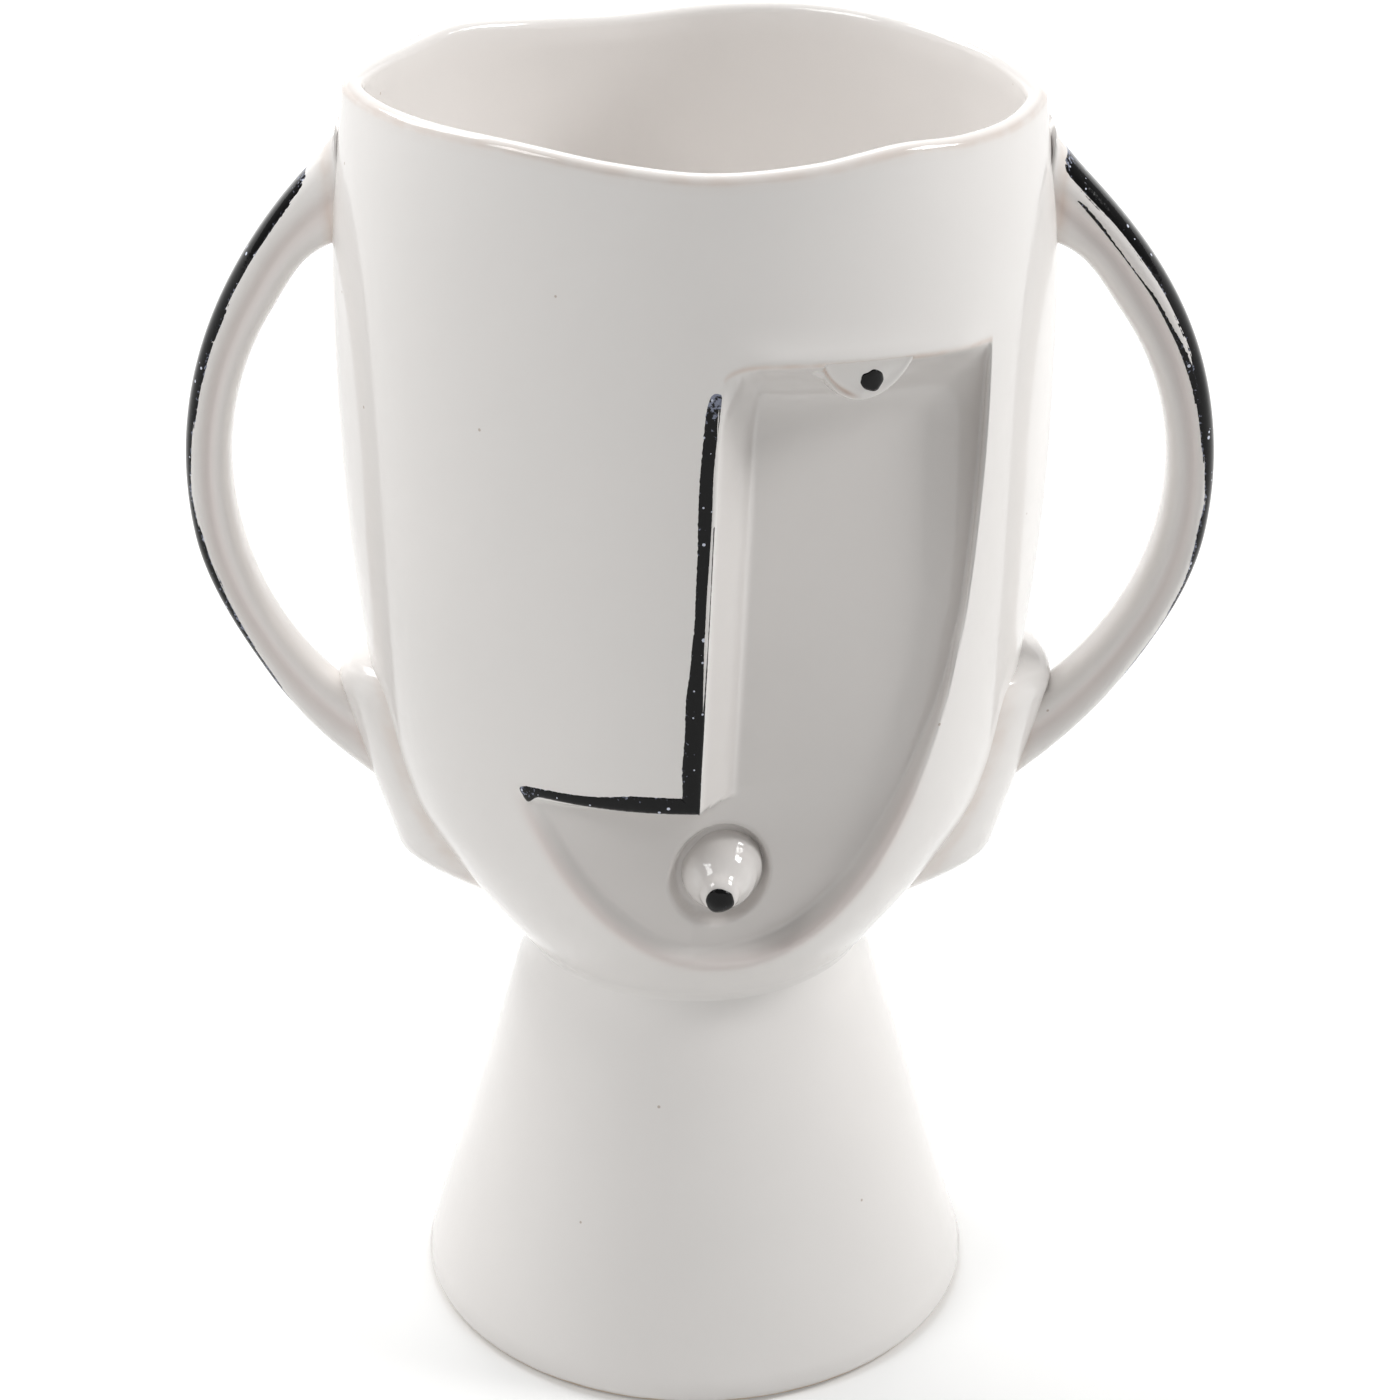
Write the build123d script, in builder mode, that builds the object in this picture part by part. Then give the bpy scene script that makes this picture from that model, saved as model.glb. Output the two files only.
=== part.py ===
"""Glazed ceramic face vase: a deep head-shaped bowl on a conical pedestal, with two loop handles for ears.

Frame: millimetres, +Z up, origin at the centre of the flat base.  The face looks along -Y, and +X is on the
right as seen from the front.  The clay pieces are cast apart and luted face to face, and the black strokes
are enamel fired on top of the glaze.
"""

import os
from math import acos, asin, atan2, cos, hypot, sin, sqrt

from build123d import *

# Pedestal
foot_radius = 68.0
foot_edge_radius = 3.0
neck_radius = 40.5
neck_height = 96.0
base_thickness = 7.0

# Clay wall of the bowl and the pedestal, and the rounding of the lip
wall = 5.0
lip_radius = 2.2

# Head sections, from the neck up: height, half width across the ears, depth from the ears to the front
chin_height = 112.0
chin_half_width = 53.5
chin_front = 48.5
jaw_height = 135.0
jaw_half_width = 68.0
jaw_front = 56.5
cheek_height = 168.0
cheek_half_width = 76.3
cheek_front = 60.5
temple_height = 232.0
temple_half_width = 80.8
temple_front = 62.5
rim_height = 300.0
rim_half_width = 76.0
rim_front = 60.0

# The back of the head is this much shallower than its half width
back_flattening = 2.0

# Sunken half of the face, seen from the front
brow_height = 256.0
brow_fall = 3.0
brow_end_x = 63.0
nose_top_x = 4.0
nose_tip_x = 1.0
nose_base_height = 155.0
nostril_x = -38.0
mouth_corner_x = -28.0
mouth_corner_height = 134.0
chin_mark_x = -1.0
chin_mark_height = 116.0
smile_x = 37.0
smile_height = 141.0
cheekbone_x = 55.0
cheekbone_height = 183.0

# Depth of the sunken floor at the nose, the chin and the outer border, and the width of the nose's flank
nose_depth = 11.0
chin_depth = 3.5
border_depth = 5.5
nose_flank_width = 6.5

# Eye: a half-almond tab under the brow, set back from the brow's surface, with a round pupil
eye_x = 38.0
eye_half_width = 10.0
eye_drop = 10.0
eye_setback = 1.5
pupil_drop = 3.8
pupil_diameter = 5.4

# Mouth: a shallow round dish with a rounded cone in it, and a dot on the cone's tip
mouth_x = 5.7
mouth_height = 133.0
dish_diameter = 24.0
dish_depth = 4.0
knob_base_radius = 8.5
knob_tip_radius = 4.8
knob_reach = 10.0
mouth_dot_diameter = 6.0

# Handles: a crescent bar between two arcs, a little behind the plane of the ears
handle_outer_radius = 96.5
handle_outer_x = 20.5
handle_inner_radius = 70.5
handle_inner_x = 35.5
handle_height = 209.0
handle_depth = 15.0
handle_setback = 6.0
handle_edge_radius = 4.0
handle_root_depth = 12.0

# Ear lobes: pads at the foot of each handle
lobe_top_height = 169.0
lobe_top_proud = 5.7
lobe_bottom_height = 107.0
lobe_bottom_proud = 14.0
lobe_depth = 30.0
lobe_setback = 13.0
lobe_edge_radius = 6.0

# Black enamel strokes
enamel_thickness = 0.45
nose_stroke_width = 5.0
nose_stroke_top = 251.0
nostril_stroke_width = 3.2
stripe_wrap = 3.5
stripe_top_height = 283.0
stripe_bottom_height = 153.0

# Head sections from the cheek to the rim, and how far the sunken floor and the cutting solids run on
upper_sections = 5
floor_margin = 8.0
overrun = 40.0


def parabola(height, points):
    """Value at a height of the parabola through three (height, value) points."""
    total = 0.0
    for h, value in points:
        for other, unused in points:
            if other != h:
                value *= (height - other) / (h - other)
        total += value
    return total


def section(height, half_width, front):
    """One level section of the head: height, half width, depth to the front and depth to the back."""
    return height, half_width, front, half_width - back_flattening


upper_heights = [cheek_height, temple_height, rim_height]
upper_half_widths = list(zip(upper_heights, [cheek_half_width, temple_half_width, rim_half_width]))
upper_fronts = list(zip(upper_heights, [cheek_front, temple_front, rim_front]))
upper_step = (rim_height - cheek_height) / (upper_sections - 1)
head_sections = [
    (neck_height, neck_radius, neck_radius, neck_radius),
    section(chin_height, chin_half_width, chin_front),
    section(jaw_height, jaw_half_width, jaw_front),
]
for i in range(upper_sections):
    level = cheek_height + i * upper_step
    head_sections.append(section(level, parabola(level, upper_half_widths), parabola(level, upper_fronts)))


def wall_insets(thickness):
    """Level inset at each head section that gives the wall this thickness square to its slope."""
    insets = [thickness]
    for below, here, above in zip(head_sections, head_sections[1:], head_sections[2:]):
        slope = (above[1] - below[1]) / (above[0] - below[0])
        insets.append(thickness * hypot(1.0, slope))
    insets.append(thickness)
    return insets


def head_form(insets):
    """Solid of the head from neck to rim, each section drawn in by its own inset."""
    with BuildPart() as form:
        for (height, half_width, front, back), inset in zip(head_sections, insets):
            side = half_width - inset
            with BuildSketch(Plane.XY.offset(height)):
                with BuildLine():
                    ThreePointArc((-side, 0), (0, inset - front), (side, 0))
                    ThreePointArc((side, 0), (0, back - inset), (-side, 0))
                make_face()
        loft()
    return form.part


def even_head_form(inset):
    """Solid of the head drawn in by the same level inset all the way up."""
    return head_form([inset] * len(head_sections))


def front_at(level, x):
    """Y of the head's front surface on one section, x from the middle."""
    half_width, front = level[1:3]
    radius = (half_width**2 + front**2) / (2 * front)
    return radius - front - sqrt(radius**2 - x**2)


def border_x(height):
    """X of the sunken face's outer border at a height, straight between the points of its outline."""
    outline = [
        (chin_mark_height, smile_x / 2),
        (smile_height, smile_x),
        (cheekbone_height, cheekbone_x),
        (brow_height, brow_end_x),
    ]
    for (low, low_x), (high, high_x) in zip(outline, outline[1:]):
        if height <= high:
            return low_x + (high_x - low_x) * max(height - low, 0.0) / (high - low)
    return brow_end_x


def floor_form(extra):
    """Solid behind the sunken face: its front is the sunken floor, set back by an extra depth."""
    with BuildPart() as form:
        for level in head_sections:
            height, half_width = level[:2]
            rise = (height - chin_mark_height) / (nose_base_height - chin_mark_height)
            depth = chin_depth + (nose_depth - chin_depth) * min(max(rise, 0.0), 1.0)
            right = border_x(height) + floor_margin
            left = max(nostril_x - floor_margin, floor_margin - half_width)
            start = (left, front_at(level, left) + extra)
            middle = (0, front_at(level, 0) + depth + extra)
            end = (right, front_at(level, right) + border_depth + extra)
            with BuildSketch(Plane.XY.offset(height)):
                with BuildLine():
                    ThreePointArc(start, middle, end)
                    Polyline(end, (right, half_width), (left, half_width), start)
                make_face()
        loft()
    return form.part


def nose_x(height):
    """X of the nose line at a height."""
    share = (height - nose_base_height) / (brow_height - nose_base_height)
    return nose_tip_x + (nose_top_x - nose_tip_x) * share


def nose_flank(margin):
    """Clay left standing along the nose, so that the nose's side slopes down to the sunken floor."""
    with BuildPart() as flank:
        for height in (nose_base_height + margin, brow_height + overrun):
            edge = Vector(nose_x(height) - margin, -parabola(height, upper_fronts))
            slope = Vector(nose_flank_width, nose_depth)
            front = edge - slope * 2
            back = edge + slope * 2
            far_x = front.X - overrun
            with BuildSketch(Plane.XY.offset(height)):
                with BuildLine():
                    Polyline(front, back, (far_x, back.Y), (far_x, front.Y), close=True)
                make_face()
        loft(ruled=True)
    return flank.part


def sunken_solid(margin):
    """Clay taken out of the face, grown by a margin on every side."""
    slant = margin * sqrt(0.5)
    with BuildPart() as sunken:
        with BuildSketch(Plane.XZ):
            with BuildLine():
                ledge = nose_base_height + margin
                nose = Line((nose_top_x - margin, brow_height + margin), (nose_tip_x - margin, ledge))
                base = Line(nose @ 1, (nostril_x - margin, ledge))
                border = Spline(
                    base @ 1,
                    (mouth_corner_x - slant, mouth_corner_height - slant),
                    (chin_mark_x, chin_mark_height - margin),
                    (smile_x + slant, smile_height - slant),
                    (cheekbone_x + margin, cheekbone_height),
                    (brow_end_x + margin, brow_height - brow_fall + margin),
                )
                Line(border @ 1, nose @ 0)
            make_face()
        extrude(amount=foot_radius + overrun)
        add(floor_form(margin), mode=Mode.SUBTRACT)
        add(nose_flank(margin), mode=Mode.SUBTRACT)
    return sunken.part


outer_form = even_head_form(0.0)
sunken_floor = floor_form(0.0)
sunken_clay = sunken_solid(0.0)

# Mouth axis: square to the sunken floor where the mouth is
mouth_ray = Axis((mouth_x, -foot_radius - overrun, mouth_height), (0, 1, 0))
mouth_point, mouth_normal = sunken_floor.find_intersection_points(mouth_ray)[0]
mouth_axis = Axis(mouth_point, mouth_normal)
mouth_plane = Plane(origin=mouth_point, x_dir=(1, 0, 0), z_dir=mouth_normal)
knob_plane = Plane(origin=mouth_point, x_dir=mouth_plane.x_dir, z_dir=-mouth_plane.y_dir)
dish_radius = ((dish_diameter / 2) ** 2 + dish_depth**2) / (2 * dish_depth)
dish_centre = mouth_point + mouth_normal * (dish_radius - dish_depth)

with BuildPart() as hollow:
    add(head_form(wall_insets(wall)))
    add(sunken_solid(wall), mode=Mode.SUBTRACT)
    with Locations(dish_centre):
        Sphere(dish_radius + wall, mode=Mode.SUBTRACT)

with BuildPart() as head_bowl:
    add(outer_form)
    add(sunken_clay, mode=Mode.SUBTRACT)
    with Locations(dish_centre):
        Sphere(dish_radius, mode=Mode.SUBTRACT)
    add(hollow.part, mode=Mode.SUBTRACT)
    fillet(head_bowl.edges().group_by(Axis.Z)[-1], lip_radius)
head_bowl.part.label = "head_bowl"

# Pedestal: a hollow cone with a closed flat base, open into the bowl at the neck
wall_level = wall * hypot(1.0, (foot_radius - neck_radius) / neck_height)
floor_radius = foot_radius - wall_level + (neck_radius - foot_radius) * base_thickness / neck_height
with BuildPart() as pedestal_foot:
    with BuildSketch(Plane.XZ):
        with BuildLine():
            Polyline(
                (0, 0),
                (foot_radius, 0),
                (neck_radius, neck_height),
                (neck_radius - wall, neck_height),
                (floor_radius, base_thickness),
                (0, base_thickness),
                close=True,
            )
        make_face()
    revolve(axis=Axis.Z)
    fillet(pedestal_foot.edges().group_by(Axis.Z)[0], foot_edge_radius)
pedestal_foot.part.label = "pedestal_foot"

# Eye: the tab fills the corner between the sunken floor and the brow
brow_at_eye = brow_height - brow_fall * (eye_x - nose_top_x) / (brow_end_x - nose_top_x)
with BuildPart() as eye_lid:
    with BuildSketch(Plane.XZ):
        with BuildLine():
            lid = ThreePointArc(
                (eye_x - eye_half_width, brow_at_eye + brow_fall),
                (eye_x, brow_at_eye - eye_drop),
                (eye_x + eye_half_width, brow_at_eye + brow_fall),
            )
            Line(lid @ 1, lid @ 0)
        make_face()
    extrude(amount=foot_radius + overrun)
    add(sunken_clay, mode=Mode.INTERSECT)
    add(even_head_form(eye_setback), mode=Mode.INTERSECT)
eye_lid.part.label = "eye_lid"

with BuildPart() as pupil:
    with BuildSketch(Plane.XZ):
        with Locations((eye_x, brow_at_eye - pupil_drop)):
            Circle(pupil_diameter / 2)
    extrude(amount=foot_radius + overrun)
    add(even_head_form(eye_setback - enamel_thickness), mode=Mode.INTERSECT)
    add(even_head_form(eye_setback), mode=Mode.SUBTRACT)
pupil.part.label = "pupil"

# Mouth knob: a cone that runs tangent into a round tip
knob_seat = dish_depth + wall / 4
tip_centre = knob_reach - knob_tip_radius
to_base = hypot(knob_base_radius, tip_centre)
tangent_angle = acos(knob_tip_radius / to_base) - atan2(tip_centre, knob_base_radius)
tip_start = (knob_tip_radius * cos(tangent_angle), tip_centre + knob_tip_radius * sin(tangent_angle))
with BuildPart() as mouth_knob:
    with BuildSketch(knob_plane):
        with BuildLine():
            side = Line((knob_base_radius, 0), tip_start)
            RadiusArc(side @ 1, (0, knob_reach), -knob_tip_radius)
            Polyline((0, knob_reach), (0, -knob_seat), (knob_base_radius, -knob_seat), side @ 0)
        make_face()
    revolve(axis=mouth_axis)
    add(head_bowl.part, mode=Mode.SUBTRACT)
mouth_knob.part.label = "mouth_knob"

# Mouth dot: a round cap of enamel on the knob's tip
dot_angle = asin(mouth_dot_diameter / 2 / knob_tip_radius)
with BuildPart() as mouth_dot:
    with BuildSketch(knob_plane):
        with BuildLine():
            tips = []
            for radius in (knob_tip_radius, knob_tip_radius + enamel_thickness):
                edge_point = (radius * sin(dot_angle), tip_centre + radius * cos(dot_angle))
                tips.append(RadiusArc(edge_point, (0, tip_centre + radius), -radius))
            Line(tips[0] @ 0, tips[1] @ 0)
            Line(tips[0] @ 1, tips[1] @ 1)
        make_face()
    revolve(axis=mouth_axis)
mouth_dot.part.label = "mouth_dot"

# Nose line: one stroke down the nose's edge and along its base
with BuildPart() as nose_line:
    with BuildSketch(Plane.XZ):
        with BuildLine():
            Polyline(
                (nose_x(nose_stroke_top), nose_stroke_top),
                (nose_tip_x, nose_base_height),
                (nostril_x, nose_base_height),
                (nostril_x, nose_base_height + nostril_stroke_width),
                (nose_tip_x - nose_stroke_width, nose_base_height + nose_stroke_width),
                (nose_x(nose_stroke_top) - nose_stroke_width, nose_stroke_top),
                close=True,
            )
        make_face()
    extrude(amount=foot_radius + overrun)
    add(even_head_form(-enamel_thickness), mode=Mode.INTERSECT)
    add(outer_form, mode=Mode.SUBTRACT)
nose_line.part.label = "nose_line"

pieces = [head_bowl, pedestal_foot, eye_lid, pupil, mouth_knob, mouth_dot, nose_line]

# Ears: on each side a lobe on the cheek, a handle from the temple down to the lobe, and a stripe along it
handle_plane = Plane.XZ.offset(-handle_setback)
lobe_plane = Plane.XZ.offset(-lobe_setback)
lobe_inside = chin_half_width - overrun
handle_root_x = rim_half_width - handle_root_depth
stripe_middle = (stripe_top_height + stripe_bottom_height) / 2
for side_name, side in (("left", -1), ("right", 1)):
    with BuildPart() as lobe:
        with BuildSketch(lobe_plane):
            with BuildLine():
                Polyline(
                    (side * lobe_inside, lobe_top_height),
                    (side * (cheek_half_width + lobe_top_proud), lobe_top_height),
                    (side * (chin_half_width + lobe_bottom_proud), lobe_bottom_height),
                    (side * lobe_inside, lobe_bottom_height),
                    close=True,
                )
            make_face()
        extrude(amount=lobe_depth / 2, both=True)
        inner_face = lobe.faces().sort_by(Axis.X)[0 if side > 0 else -1]
        fillet(lobe.edges() - inner_face.edges(), lobe_edge_radius)
        add(outer_form, mode=Mode.SUBTRACT)
    lobe.part.label = f"ear_lobe_{side_name}"

    with BuildPart() as bar:
        with BuildSketch(handle_plane):
            with Locations((side * handle_outer_x, handle_height)):
                Circle(handle_outer_radius)
            with Locations((side * handle_inner_x, handle_height)):
                Circle(handle_inner_radius, mode=Mode.SUBTRACT)
            with Locations((side * (handle_root_x + handle_outer_radius), handle_height)):
                Rectangle(2 * handle_outer_radius, 2 * handle_outer_radius, mode=Mode.INTERSECT)
        extrude(amount=handle_depth / 2, both=True)
        fillet(bar.edges().filter_by(GeomType.CIRCLE), handle_edge_radius)

    with BuildPart() as handle:
        add(bar.part)
        add(outer_form, mode=Mode.SUBTRACT)
        add(lobe.part, mode=Mode.SUBTRACT)
    handle.part.label = f"handle_{side_name}"

    with BuildPart() as stripe:
        with BuildSketch(handle_plane):
            with Locations((side * handle_outer_x, handle_height)):
                Circle(handle_outer_radius + enamel_thickness)
                Circle(handle_outer_radius - 2 * handle_edge_radius, mode=Mode.SUBTRACT)
            with Locations((side * handle_outer_radius, stripe_middle)):
                Rectangle(handle_outer_radius, stripe_top_height - stripe_bottom_height, mode=Mode.INTERSECT)
        extrude(amount=handle_depth / 2 + enamel_thickness, both=True)
        long_edges = stripe.edges().filter_by(GeomType.CIRCLE)
        outer_edges = long_edges.filter_by(lambda edge: edge.radius > handle_outer_radius)
        fillet(outer_edges, handle_edge_radius + enamel_thickness)
        with BuildSketch(handle_plane):
            with Locations((side * handle_outer_x, handle_height)):
                Circle(handle_outer_radius - stripe_wrap)
        extrude(amount=handle_depth, both=True, mode=Mode.SUBTRACT)
        add(bar.part, mode=Mode.SUBTRACT)
        add(outer_form, mode=Mode.SUBTRACT)
    stripe.part.label = f"handle_stripe_{side_name}"
    pieces += [lobe, handle, stripe]

os.makedirs("parts", exist_ok=True)
for piece in pieces:
    export_step(piece.part, f"parts/{piece.part.label}.step")
    box = piece.part.bounding_box()
    print(piece.part.label, "volume", round(piece.part.volume), "size", box.size)
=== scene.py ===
# %% [markdown]
# # A glazed face vase
# The vase is a deep bowl shaped as a head, on a conical foot, with two loop handles for ears. Half of the
# face is pressed in, and black enamel strokes mark the nose, the eye, the mouth and the handles. The solids
# that carry the sizes come in first as a fixed frame, and each cell then models one piece over its solid.

# %% Load the frame
from bisect import bisect
from functools import cache
from math import acos, asin, atan2, cos, degrees, exp, hypot, pi, radians, sin, sqrt

import bmesh
import bpy
from mathutils import Matrix, Vector, noise


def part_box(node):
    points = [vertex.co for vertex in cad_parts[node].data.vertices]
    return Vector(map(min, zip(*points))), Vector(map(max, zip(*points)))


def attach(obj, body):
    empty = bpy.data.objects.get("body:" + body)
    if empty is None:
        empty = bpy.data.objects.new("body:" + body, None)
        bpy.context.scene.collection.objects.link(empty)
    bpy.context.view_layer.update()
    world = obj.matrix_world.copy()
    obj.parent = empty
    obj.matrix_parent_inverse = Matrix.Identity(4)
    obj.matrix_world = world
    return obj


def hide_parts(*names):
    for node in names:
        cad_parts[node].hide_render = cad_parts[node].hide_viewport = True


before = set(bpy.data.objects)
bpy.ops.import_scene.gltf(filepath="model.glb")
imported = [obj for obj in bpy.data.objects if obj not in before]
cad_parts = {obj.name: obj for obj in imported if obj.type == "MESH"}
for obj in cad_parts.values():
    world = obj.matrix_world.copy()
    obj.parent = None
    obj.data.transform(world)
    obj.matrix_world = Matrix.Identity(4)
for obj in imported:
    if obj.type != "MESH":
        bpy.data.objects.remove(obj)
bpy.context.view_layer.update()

# %% [markdown]
# ## Working in millimetres
# A potter thinks in millimetres and Blender counts in metres. Each piece is shaped in millimetres and shrunk
# when its mesh is made, so the sizes of the pieces below are those that a ruler would read off the vase.

# %% Units, soft ramps and smooth curves
MM = 0.001


def corner_of(node, which):
    """Lowest (0) or highest (1) corner of a CAD node, in millimetres."""
    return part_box(node)[which] / MM


def clamp(value):
    """Keeps a value between 0 and 1."""
    return min(max(value, 0.0), 1.0)


def soft_step(t):
    """Rises from 0 to 1 as t does, level at both ends."""
    t = clamp(t)
    return t * t * (3 - 2 * t)


def soft_ramp(t, rounding=0.16):
    """Rises from 0 to 1 in a straight slope whose two corners are rounded."""
    shifts = (-rounding, -rounding / 2, 0.0, rounding / 2, rounding)
    return sum(clamp(t + shift) for shift in shifts) / len(shifts)


def bump(distance, width):
    """A rounded hump of height 1 at distance 0."""
    return exp(-((distance / width) ** 2))


def smooth_through(points, at):
    """Value on the smooth curve through (place, value) points, which starts level."""
    i = min(max(bisect(points, (at,)) - 1, 0), len(points) - 2)
    (a, from_value), (b, to_value) = points[i], points[i + 1]
    span = b - a
    start_slope = 0.0
    end_slope = (to_value - from_value) / span
    if i > 0:
        before = points[i - 1]
        start_slope = (to_value - before[1]) / (b - before[0])
    if i + 2 < len(points):
        after = points[i + 2]
        end_slope = (after[1] - from_value) / (after[0] - a)
    t = (at - a) / span
    rise = t * t * (3 - 2 * t)
    start_part = start_slope * span * t * (1 - t) ** 2
    end_part = end_slope * span * t * t * (t - 1)
    return from_value + (to_value - from_value) * rise + start_part + end_part


print("soft ramp in quarters", [round(soft_ramp(i / 4), 2) for i in range(5)])

# %% [markdown]
# ## From a bmesh to a piece
# Every piece ends in the same way: doubles are merged, the normals turned outwards, the millimetres become
# metres, and the piece is named after its solid, which is hidden, and given its material.

# %% Finish a piece
MERGE_DISTANCE = 0.002


def make_piece(bm, node, finish, sharp_seams=()):
    """Turns a bmesh in millimetres into the piece that stands for a CAD node."""
    bmesh.ops.remove_doubles(bm, verts=bm.verts, dist=MERGE_DISTANCE)
    bmesh.ops.recalc_face_normals(bm, faces=bm.faces)
    for face in bm.faces:
        face.smooth = True
    for edge in sharp_seams:
        if edge.is_valid:
            edge.smooth = False
    bmesh.ops.scale(bm, vec=Vector((MM, MM, MM)), verts=bm.verts)
    mesh = bpy.data.meshes.new(node + "_glazed")
    bm.to_mesh(mesh)
    bm.free()
    piece = bpy.data.objects.new(node + "_glazed", mesh)
    bpy.context.scene.collection.objects.link(piece)
    piece.data.materials.append(finish)
    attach(piece, "root")
    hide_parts(node)
    print(piece.name, "faces", len(mesh.polygons), "size mm", [round(c / MM, 1) for c in piece.dimensions])


def close_behind(bm, push):
    """Gives a sheet its thickness: its copy, pushed back, closes it to a solid."""
    made = bmesh.ops.extrude_face_region(bm, geom=bm.faces[:])
    back = [item for item in made["geom"] if isinstance(item, bmesh.types.BMVert)]
    bmesh.ops.translate(bm, vec=push, verts=back)


# %% [markdown]
# ## Colours and nodes
# Paint charts give sRGB values, and shaders count in linear light, so one function converts them. A second
# small function adds a node with its settings and links, and the steps that come again and again, such as a
# mix of two colours, get a short name. That keeps each material short enough to read.

# %% Colour and node helpers
def linear(hex_colour):
    """Linear RGBA of an sRGB hex colour."""
    channels = []
    for i in (1, 3, 5):
        c = int(hex_colour[i : i + 2], 16) / 255
        channels.append(c / 12.92 if c <= 0.04045 else ((c + 0.055) / 1.055) ** 2.4)
    return (*channels, 1.0)


def add_node(tree, kind, inputs=None, **settings):
    """Adds a node with its settings. An input is a value, or the output socket that it is linked to."""
    made = tree.nodes.new(kind)
    for name, value in settings.items():
        setattr(made, name, value)
    for name, value in (inputs or {}).items():
        if isinstance(value, bpy.types.NodeSocket):
            tree.links.new(value, made.inputs[name])
        else:
            made.inputs[name].default_value = value
    return made


# Inputs and output of a Mix node that mixes colours
FACTOR, COLOUR_A, COLOUR_B, MIXED = 0, 6, 7, 2


def mixed(tree, factor, first, second):
    """The first colour where the factor is 0, the second where it is 1."""
    inputs = {FACTOR: factor, COLOUR_A: first, COLOUR_B: second}
    return add_node(tree, "ShaderNodeMix", inputs, data_type="RGBA").outputs[MIXED]


def reckoned(tree, operation, *values):
    """Result of a Math node on values or sockets."""
    return add_node(tree, "ShaderNodeMath", dict(enumerate(values)), operation=operation).outputs["Value"]


def mapped(tree, value, from_low, from_high, to_low=0.0, to_high=1.0):
    """Value carried from one range to another, and held at its ends."""
    inputs = {"Value": value, "From Min": from_low, "From Max": from_high}
    inputs.update({"To Min": to_low, "To Max": to_high})
    return add_node(tree, "ShaderNodeMapRange", inputs).outputs["Result"]


def clouds(tree, place, size_mm, detail, roughness=0.5):
    """Soft noise with features this many millimetres apart."""
    inputs = {"Vector": place, "Scale": 1 / (size_mm * MM), "Detail": detail, "Roughness": roughness}
    return add_node(tree, "ShaderNodeTexNoise", inputs).outputs["Fac"]


def cells(tree, place, size_mm):
    """Net of cells this many millimetres apart."""
    inputs = {"Vector": place, "Scale": 1 / (size_mm * MM)}
    return add_node(tree, "ShaderNodeTexVoronoi", inputs, feature="F1")


def painted(tree, attribute):
    """Value of an attribute that is painted on the mesh."""
    return add_node(tree, "ShaderNodeAttribute", attribute_name=attribute).outputs["Fac"]


def raised(tree, height, strength, depth_mm, **under):
    """Normal of a skin whose relief is this many millimetres deep."""
    inputs = {"Height": height, "Strength": strength, "Distance": depth_mm * MM, **under}
    return add_node(tree, "ShaderNodeBump", inputs).outputs["Normal"]


def new_finish(name):
    """A new material, its tree and the place on the piece in metres."""
    material = bpy.data.materials.new(name)
    material.use_nodes = True
    place = add_node(material.node_tree, "ShaderNodeTexCoord").outputs["Object"]
    return material, material.node_tree, place


def set_shader(tree, colour, roughness, normal, ior):
    """Links the finish to the shader."""
    shader = tree.nodes["Principled BSDF"]
    tree.links.new(colour, shader.inputs["Base Color"])
    tree.links.new(roughness, shader.inputs["Roughness"])
    tree.links.new(normal, shader.inputs["Normal"])
    shader.inputs["IOR"].default_value = ior
    return shader


print("middle grey in linear light", round(linear("#808080")[0], 3))

# %% [markdown]
# ## White glaze
# The clay is dipped in an opaque tin-white glaze and fired. The melt levels out to a gloss with a faint
# orange peel and draws thin over sharp edges, where the tan body warms it. The sunken face gets painted
# shade, a greyer tone. These places are painted on the meshes as attributes, because they follow the shape.

# %% White glaze material
THIN_GLAZE = "thin_glaze"
BLUSH = "blush"
# Attribute that carries the painted shade of the sunken face
RECESS_SHADE = "recess_shade"
GLAZE_IOR = 1.52
BARE_FOOT = 1.6


def bare_share(tree, place, breaks, bare_below):
    """1 on the bare clay of the foot, 0 on the glaze above its uneven line."""
    height = add_node(tree, "ShaderNodeSeparateXYZ", {"Vector": place}).outputs["Z"]
    uneven_height = reckoned(tree, "MULTIPLY_ADD", breaks, -1.2 * MM, height)
    return mapped(tree, uneven_height, (bare_below - 0.9) * MM, (bare_below - 0.3) * MM, 1.0, 0.0)


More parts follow.
